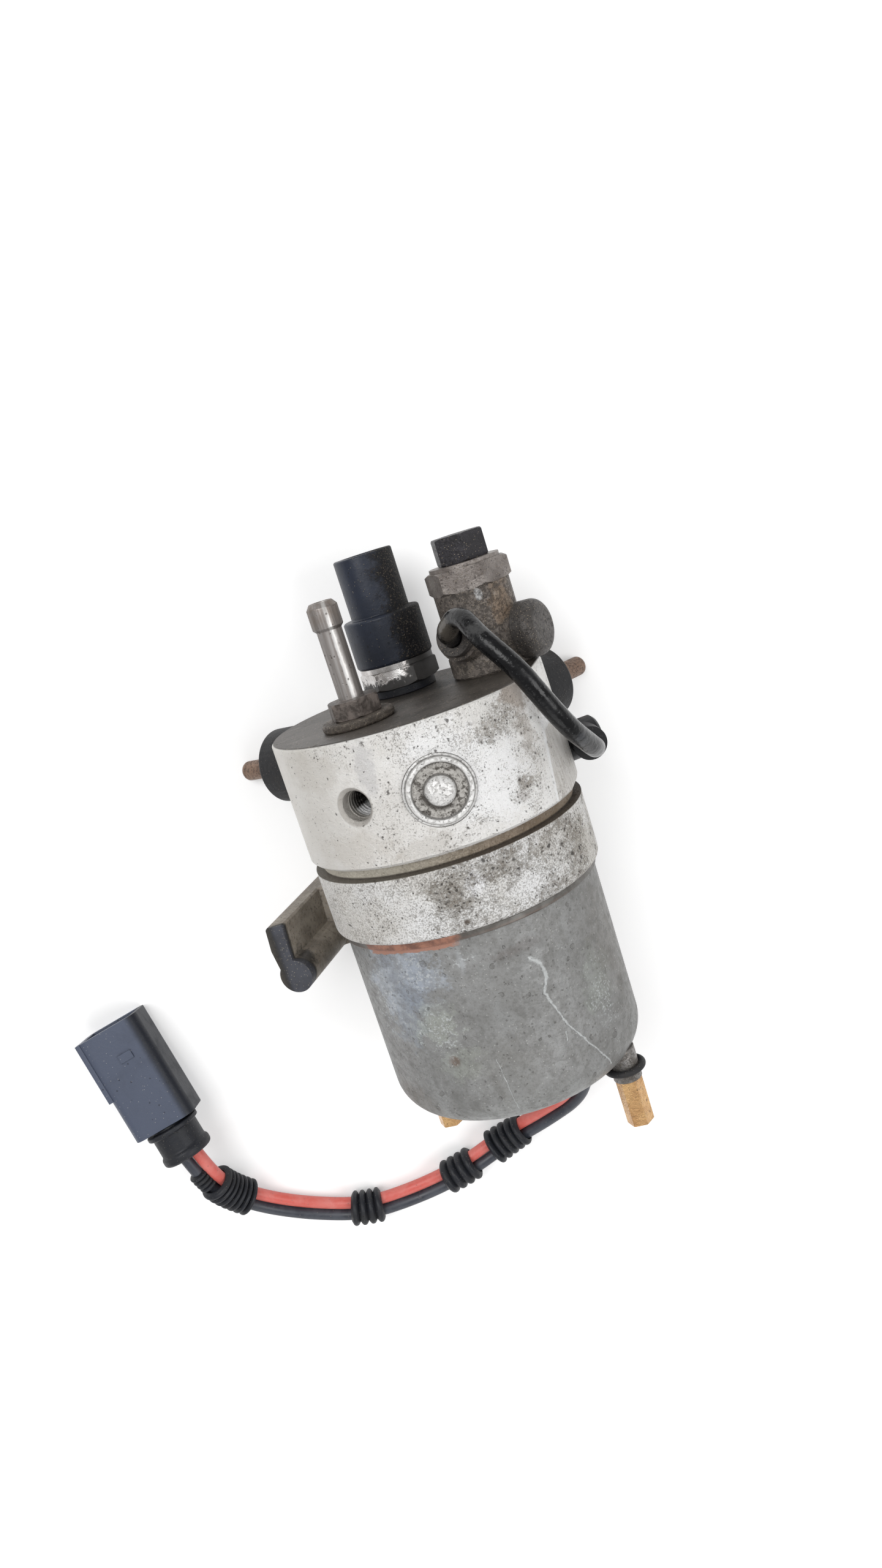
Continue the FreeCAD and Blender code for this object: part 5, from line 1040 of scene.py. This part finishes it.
# The lead: two wires side by side, whose corners repeat the route of the model
lead = {
    "start": (14.0, -80.4, -15.0), "gland": (14.0, -92.5, -15.0),
    "corners": [(10.9, -103.4, 15.4), (1.5, -110.0, 8.8), (-10.6, -114.7, 5.45), (-26.0, -120.4, 5.25),
                (-39.9, -123.5, 3.4), (-53.8, -122.7, 5.15), (-67.6, -118.9, 3.4), (-79.0, -111.9, 5.0),
                (-86.9, -103.4, 8.2), (-90.1, -94.6, 12.4)],
    "end": (-92.383, -85.068, 12.722),  # the last numbers of corners and end are heights above the floor
    "radius": 1.6, "spread": 1.75,
}


def leadCorners(shift):
    onFloor = [(x, y, floorLevel + height) for x, y, height in (*lead["corners"], lead["end"])]
    route = np.array([lead["start"], lead["gland"], *onFloor])
    way = np.vstack([route[1:], route[-1:]]) - np.vstack([route[:1], route[:-1]])
    way[:, 2] = 0
    way /= np.linalg.norm(way, axis=1, keepdims=True)
    return route + shift * np.stack([way[:, 1], -way[:, 0], np.zeros(len(way))], axis=1)


def makeWire(name, node, shift):
    corners = leadCorners(shift)
    curve = bpy.data.curves.new(name, "CURVE")
    curve.dimensions = "3D"
    curve.resolution_u = 16
    spline = curve.splines.new("NURBS")
    spline.points.add(len(corners) - 1)
    for point, corner in zip(spline.points, corners * mm):
        point.co = (*corner, 1.0)
    spline.order_u = 3
    spline.use_endpoint_u = True
    path = pointsOf(curve)
    curve.bevel_depth = lead["radius"] * mm
    curve.bevel_resolution = 7
    curve.use_fill_caps = True
    return addPiece(name, curve, None, node), path


redPiece, redPath = makeWire("redWire", "red_wire", lead["spread"])
blackPiece, blackPath = makeWire("blackWire", "black_wire", -lead["spread"])
redLength = runOf(redPath)[-1]
blackLength = runOf(blackPath)[-1]
pairPath = (cutPath(redPath, 0, redLength, 400) + cutPath(blackPath, 0, blackLength, 400)) / 2
print("lead made, wires", round(redLength, 1), round(blackLength, 1), "mm")

sleeves = {
    "sleeve_near_can": {"length": 11.0, "ribs": 5, "root": 3.6, "crests": (4.4, 5.0)},
    "sleeve_middle": {"length": 9.6, "ribs": 4, "root": 3.6, "crests": (4.7, 4.7)},
    "sleeve_far": {"length": 8.6, "ribs": 4, "root": 3.6, "crests": (4.7, 4.7)},
    "connector_boot": {"length": 12.6, "ribs": 7, "root": 3.7, "crests": (4.95, 4.95)},
}
sleeveBore = 3.42  # inner radius, over both wires
wireTail = {"length": 5.4, "ribs": 4, "root": 1.9, "crests": (2.7, 2.7), "bore": 1.55, "fromEnd": 13.5}


def ribbedTube(name, path, start, length, ribs, root, crests, bore):
    # ribs along a path: r = root + (crest - root) (1 - |cos(pi n s)|^3)^0.5 with n ribs, open at both ends
    rows = 24 * ribs + 1
    share = np.linspace(0, 1, rows)
    line = cutPath(path, start, start + length, rows)
    crest = np.interp(share, [0, 1], crests)
    wave = np.sqrt(np.maximum(1 - np.abs(np.cos(np.pi * ribs * share)) ** 3, 0))
    outer = carried(line, root + (crest - root) * wave, 56)
    inner = carried(line, np.full(rows, bore), 56)
    return putMesh(name, np.concatenate([outer, inner[::-1], outer[:1]]), sharp=70.0)


def makeSleeve(node, size):
    low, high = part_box(node)
    middle = np.array((low + high) / 2) / mm
    at = runOf(pairPath)[np.argmin(np.linalg.norm(pairPath - middle, axis=1))]
    mesh = ribbedTube(node + "_ribbed", pairPath, at - size["length"] / 2, size["length"], size["ribs"],
                      size["root"], size["crests"], sleeveBore)
    return addPiece(node + "_ribbed", mesh, special["sleeve"], node)


sleevePieces = [makeSleeve(node, size) for node, size in sleeves.items()]
tailMesh = ribbedTube("wire_tail", blackPath, blackLength - wireTail["fromEnd"], wireTail["length"],
                      wireTail["ribs"], wireTail["root"], wireTail["crests"], wireTail["bore"])
sleevePieces.append(addPiece("wire_tail", tailMesh, special["sleeve"], "connector_boot", False))
print("sleeves made:", len(sleevePieces))

plugPieces = [dressed("connector_housing", 0.5), dressed("connector_neck", 0.45, special["sleeve"]),
              nodes["connector_blades"]]

# The can: a drawn shell with two dents
can = {"front": -33.9, "rear": -80.2, "radius": canRadius, "corner": 8.0, "wall": 1.6,
       "columns": 300, "rows": 90}


def canProfile(radius, rear, corner, rows):
    # straight side, quarter round of the corner's radius, then flat to the axis
    side = np.linspace(can["front"], rear + corner, rows)
    turn = np.linspace(0, np.pi / 2, 19)[1:]
    flatRadii = np.linspace(radius - corner, 0, 9)[1:]
    r = np.concatenate([np.full(rows, radius), radius - corner + corner * np.cos(turn), flatRadii])
    y = np.concatenate([side, rear + corner - corner * np.sin(turn), np.full(8, rear)])
    return r, y


def revolved(radius, level, angle):
    # round the pump's axis: (r sin a, y, r cos a)
    return np.stack([radius * np.sin(angle), level + 0 * angle, radius * np.cos(angle)], axis=-1)


def makeCanShell():
    # revolved profile, r pushed in by depth * exp(-(arc / reach)^2 - (level / reach)^2) at each dent
    r, y = canProfile(can["radius"], can["rear"], can["corner"], can["rows"])
    angle = np.linspace(0, 2 * np.pi, can["columns"], endpoint=False)[None, :]
    radius = np.repeat(r[:, None], can["columns"], 1)
    for azimuth, level, around, along, depth in canLook["dents"]:
        turn = (angle - math.radians(azimuth) + np.pi) % (2 * np.pi) - np.pi
        push = np.exp(-(turn * can["radius"] / around) ** 2 - ((y[:, None] - level) / along) ** 2)
        radius = radius - depth * push * (y[:, None] > can["rear"] + 1)
    outer = revolved(radius, y[:, None], angle)
    wall = can["wall"]
    r, y = canProfile(can["radius"] - wall, can["rear"] + wall, can["corner"] - wall, 12)
    inner = revolved(r[:, None], y[:, None], angle)
    skin = np.concatenate([outer[::-1], inner])  # from the outer pole over the rim to the inner pole
    return putMesh("canShell", skin, 50.0)


addPiece("canShell", makeCanShell(), None, "motor_can")

plug = {
    "azimuth": plugLook["azimuth"], "level": plugLook["level"], "columns": 128,
    "profile": [  # radius about the plug's own axis, and distance from the pump's axis
        (0, 26.9), (6.5, 26.9), (6.5, 31.35), (7.8, 31.35), (7.8, 32.2), (7.7, 32.35), (7.3, 32.4),
        (7.15, 32.6), (7.1, 33.2), (7.0, 33.4), (6.8, 33.5), (6.5, 33.5), (6.25, 33.42), (6.05, 33.2),
        (5.9, 32.6), (5.6, 32.45), (3.9, 32.45), (3.55, 32.55), (3.35, 32.85),
    ],
    "pegRadius": 3.35, "pegSide": 33.05, "pegTop": 34.9,
}


def onSpoke(azimuth, level, radius, distance, angle):
    # a ring about a line square to the pump's axis: distance n + level y + radius (cos a e1 + sin a e2)
    turn = math.radians(azimuth)
    return np.stack([distance * math.sin(turn) + radius * np.cos(angle) * math.cos(turn),
                     level + radius * np.sin(angle),
                     distance * math.cos(turn) - radius * np.cos(angle) * math.sin(turn)], axis=-1)


def makePlugMesh():
    # revolved profile whose peg ends in a dome: r = R cos t, d = side + (top - side) sin t
    t = np.linspace(0, np.pi / 2, 16)
    rise = (plug["pegTop"] - plug["pegSide"]) * np.sin(t)
    dome = np.stack([plug["pegRadius"] * np.cos(t), plug["pegSide"] + rise], axis=1)
    outline = np.vstack([np.array(plug["profile"], float), dome])
    angle = np.linspace(0, 2 * np.pi, plug["columns"], endpoint=False)[None, :]
    grid = onSpoke(plug["azimuth"], plug["level"], outline[:, :1], outline[:, 1:] + 0 * angle, angle)
    return putMesh("valvePlug", grid, 50.0)


addPiece("valvePlug", makePlugMesh(), special["plug"], "valve_plug")

thread = {"azimuth": holeLook["azimuth"], "level": 0.0, "radius": 3.32, "pitch": 0.95, "turns": 6,
          "from": 24.2, "ridge": 0.2}


def makeThread():
    # helix of the side hole's thread crests: angle 2 pi t, distance start + pitch t, as a thin round ridge
    turns = thread["turns"] * np.linspace(0, 1, 64 * thread["turns"])
    line = onSpoke(thread["azimuth"], thread["level"], thread["radius"],
                   thread["from"] + thread["pitch"] * turns, 2 * np.pi * turns)
    tube = carried(line, np.full(len(line), thread["ridge"]), 8)
    ends = tube.mean(1, keepdims=True)[[0, -1]] + np.zeros((2, 8, 3))
    return putMesh("holeThread", np.concatenate([ends[:1], tube, ends[1:]]), 60.0)


addPiece("holeThread", makeThread(), None, "pump_head", False)

# Rigid pieces that keep the model's shape: width of the rounding, and a material where it isn't the slot's
edges = {
    "pump_head": (0.25, None), "motor_flange": (0.25, None), "can_seal_ring": (0.3, special["sealRing"]),
    "nipple_washer": (0.25, special["washer"]), "hose_nipple": (0.3, special["nipple"]),
    "switch_hex": (0.3, special["switchHex"]), "switch_body": (0.35, special["switch"]),
    "switch_seal": (0.3, special["sleeve"]), "tower_body": (0.4, None),
    "tower_collar": (0.35, special["collar"]), "cap_nut": (0.35, special["capNut"]),
    "side_plug": (0.3, special["sidePlug"]), "port_ring": (0.3, special["sidePlug"]),
    "pipe_elbow": (0.4, special["elbow"]), "mount_buffers": (0.4, None),
    "buffer_outer_studs": (0.2, special["stud"]), "rubber_foot": (0.9, special["foot"]),
    "cable_gland": (0.3, special["sleeve"]), "brass_nuts": (0.2, None), "bolt_bushes": (0.2, None),
    "pressure_pipe": (0.0, None), "bolt_seals": (0.0, None),
}
for node, (bevel, material) in edges.items():
    dressed(node, bevel, material)
print("dressed pieces:", len(edges))

springs = {  # joint, direction of travel, travel and the fixed end's level along the direction (mm)
    "relief_spring": ("relief_lift", (0.027922, 0, 0.99961), 2.5, 26.74),
    "check_spring": ("check_ball_lift", (0, 1, 0), 2.0, 29.15),
    "brush_spring_upper": ("upper_brush_slide", (0, 0, 1), 3.0, 24.55),
    "brush_spring_lower": ("lower_brush_slide", (0, 0, -1), 3.0, 24.55),
}
for node, (joint, way, travel, level) in springs.items():
    piece = dressed(node, 0.0)
    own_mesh(piece)
print("springs:", len(springs))

# Stage: the floor's half width is in metres; glow and sky are strengths where 1 is white
stage = {"reach": 3.0, "tone": 0.9, "rough": 0.9, "glow": 0.3, "sky": 0.38, "seenSky": 0.62}
reach, level = stage["reach"], floorLevel * mm
floorCorners = [(-reach, -reach, level), (reach, -reach, level),
                (reach, reach, level), (-reach, reach, level)]
floorMesh = bpy.data.meshes.new("floor")
floorMesh.from_pydata(floorCorners, [], [(0, 1, 2, 3)])
floor = addObject("floor", floorMesh)
floorMaterial, floorTree, floorShader = startMaterial("floorPaint")
rays = put(floorTree, "ShaderNodeLightPath").outputs
seen = most(floorTree, rays["Is Camera Ray"], rays["Is Glossy Ray"], rays["Is Transmission Ray"])
fill(floorTree, floorShader, {"Base Color": (*[stage["tone"]] * 3, 1), "Roughness": stage["rough"],
                              "Emission Color": (1, 1, 1, 1),
                              "Emission Strength": times(floorTree, seen, stage["glow"])})
setMaterial(floor, floorMaterial)

lamps = {
    "key": {"place": (-0.35, 0.45, 0.9), "size": 0.7, "power": 6.0},
    "fill": {"place": (0.62, -0.15, 0.82), "size": 0.6, "power": 3.6},
    "low": {"place": (-0.2, -0.9, 0.5), "size": 0.8, "power": 1.6},
}
for name, lamp in lamps.items():
    data = bpy.data.lights.new(name, "AREA")
    data.shape = "DISK"
    data.size = lamp["size"]
    data.energy = lamp["power"]
    piece = addObject(name, data)
    piece.location = lamp["place"]
    piece.rotation_euler = (-Vector(lamp["place"])).to_track_quat("-Z", "Y").to_euler()

world = bpy.data.worlds.new("studio")
bpy.context.scene.world = world
world.use_nodes = True
background = world.node_tree.nodes["Background"]
background.inputs["Color"].default_value = (1, 1, 1, 1)
skyRays = put(world.node_tree, "ShaderNodeLightPath").outputs
skyLevel = addUp(world.node_tree, (skyRays["Is Camera Ray"], stage["seenSky"]), (1.0, stage["sky"]))
world.node_tree.links.new(skyLevel, background.inputs["Strength"])
print("stage set")
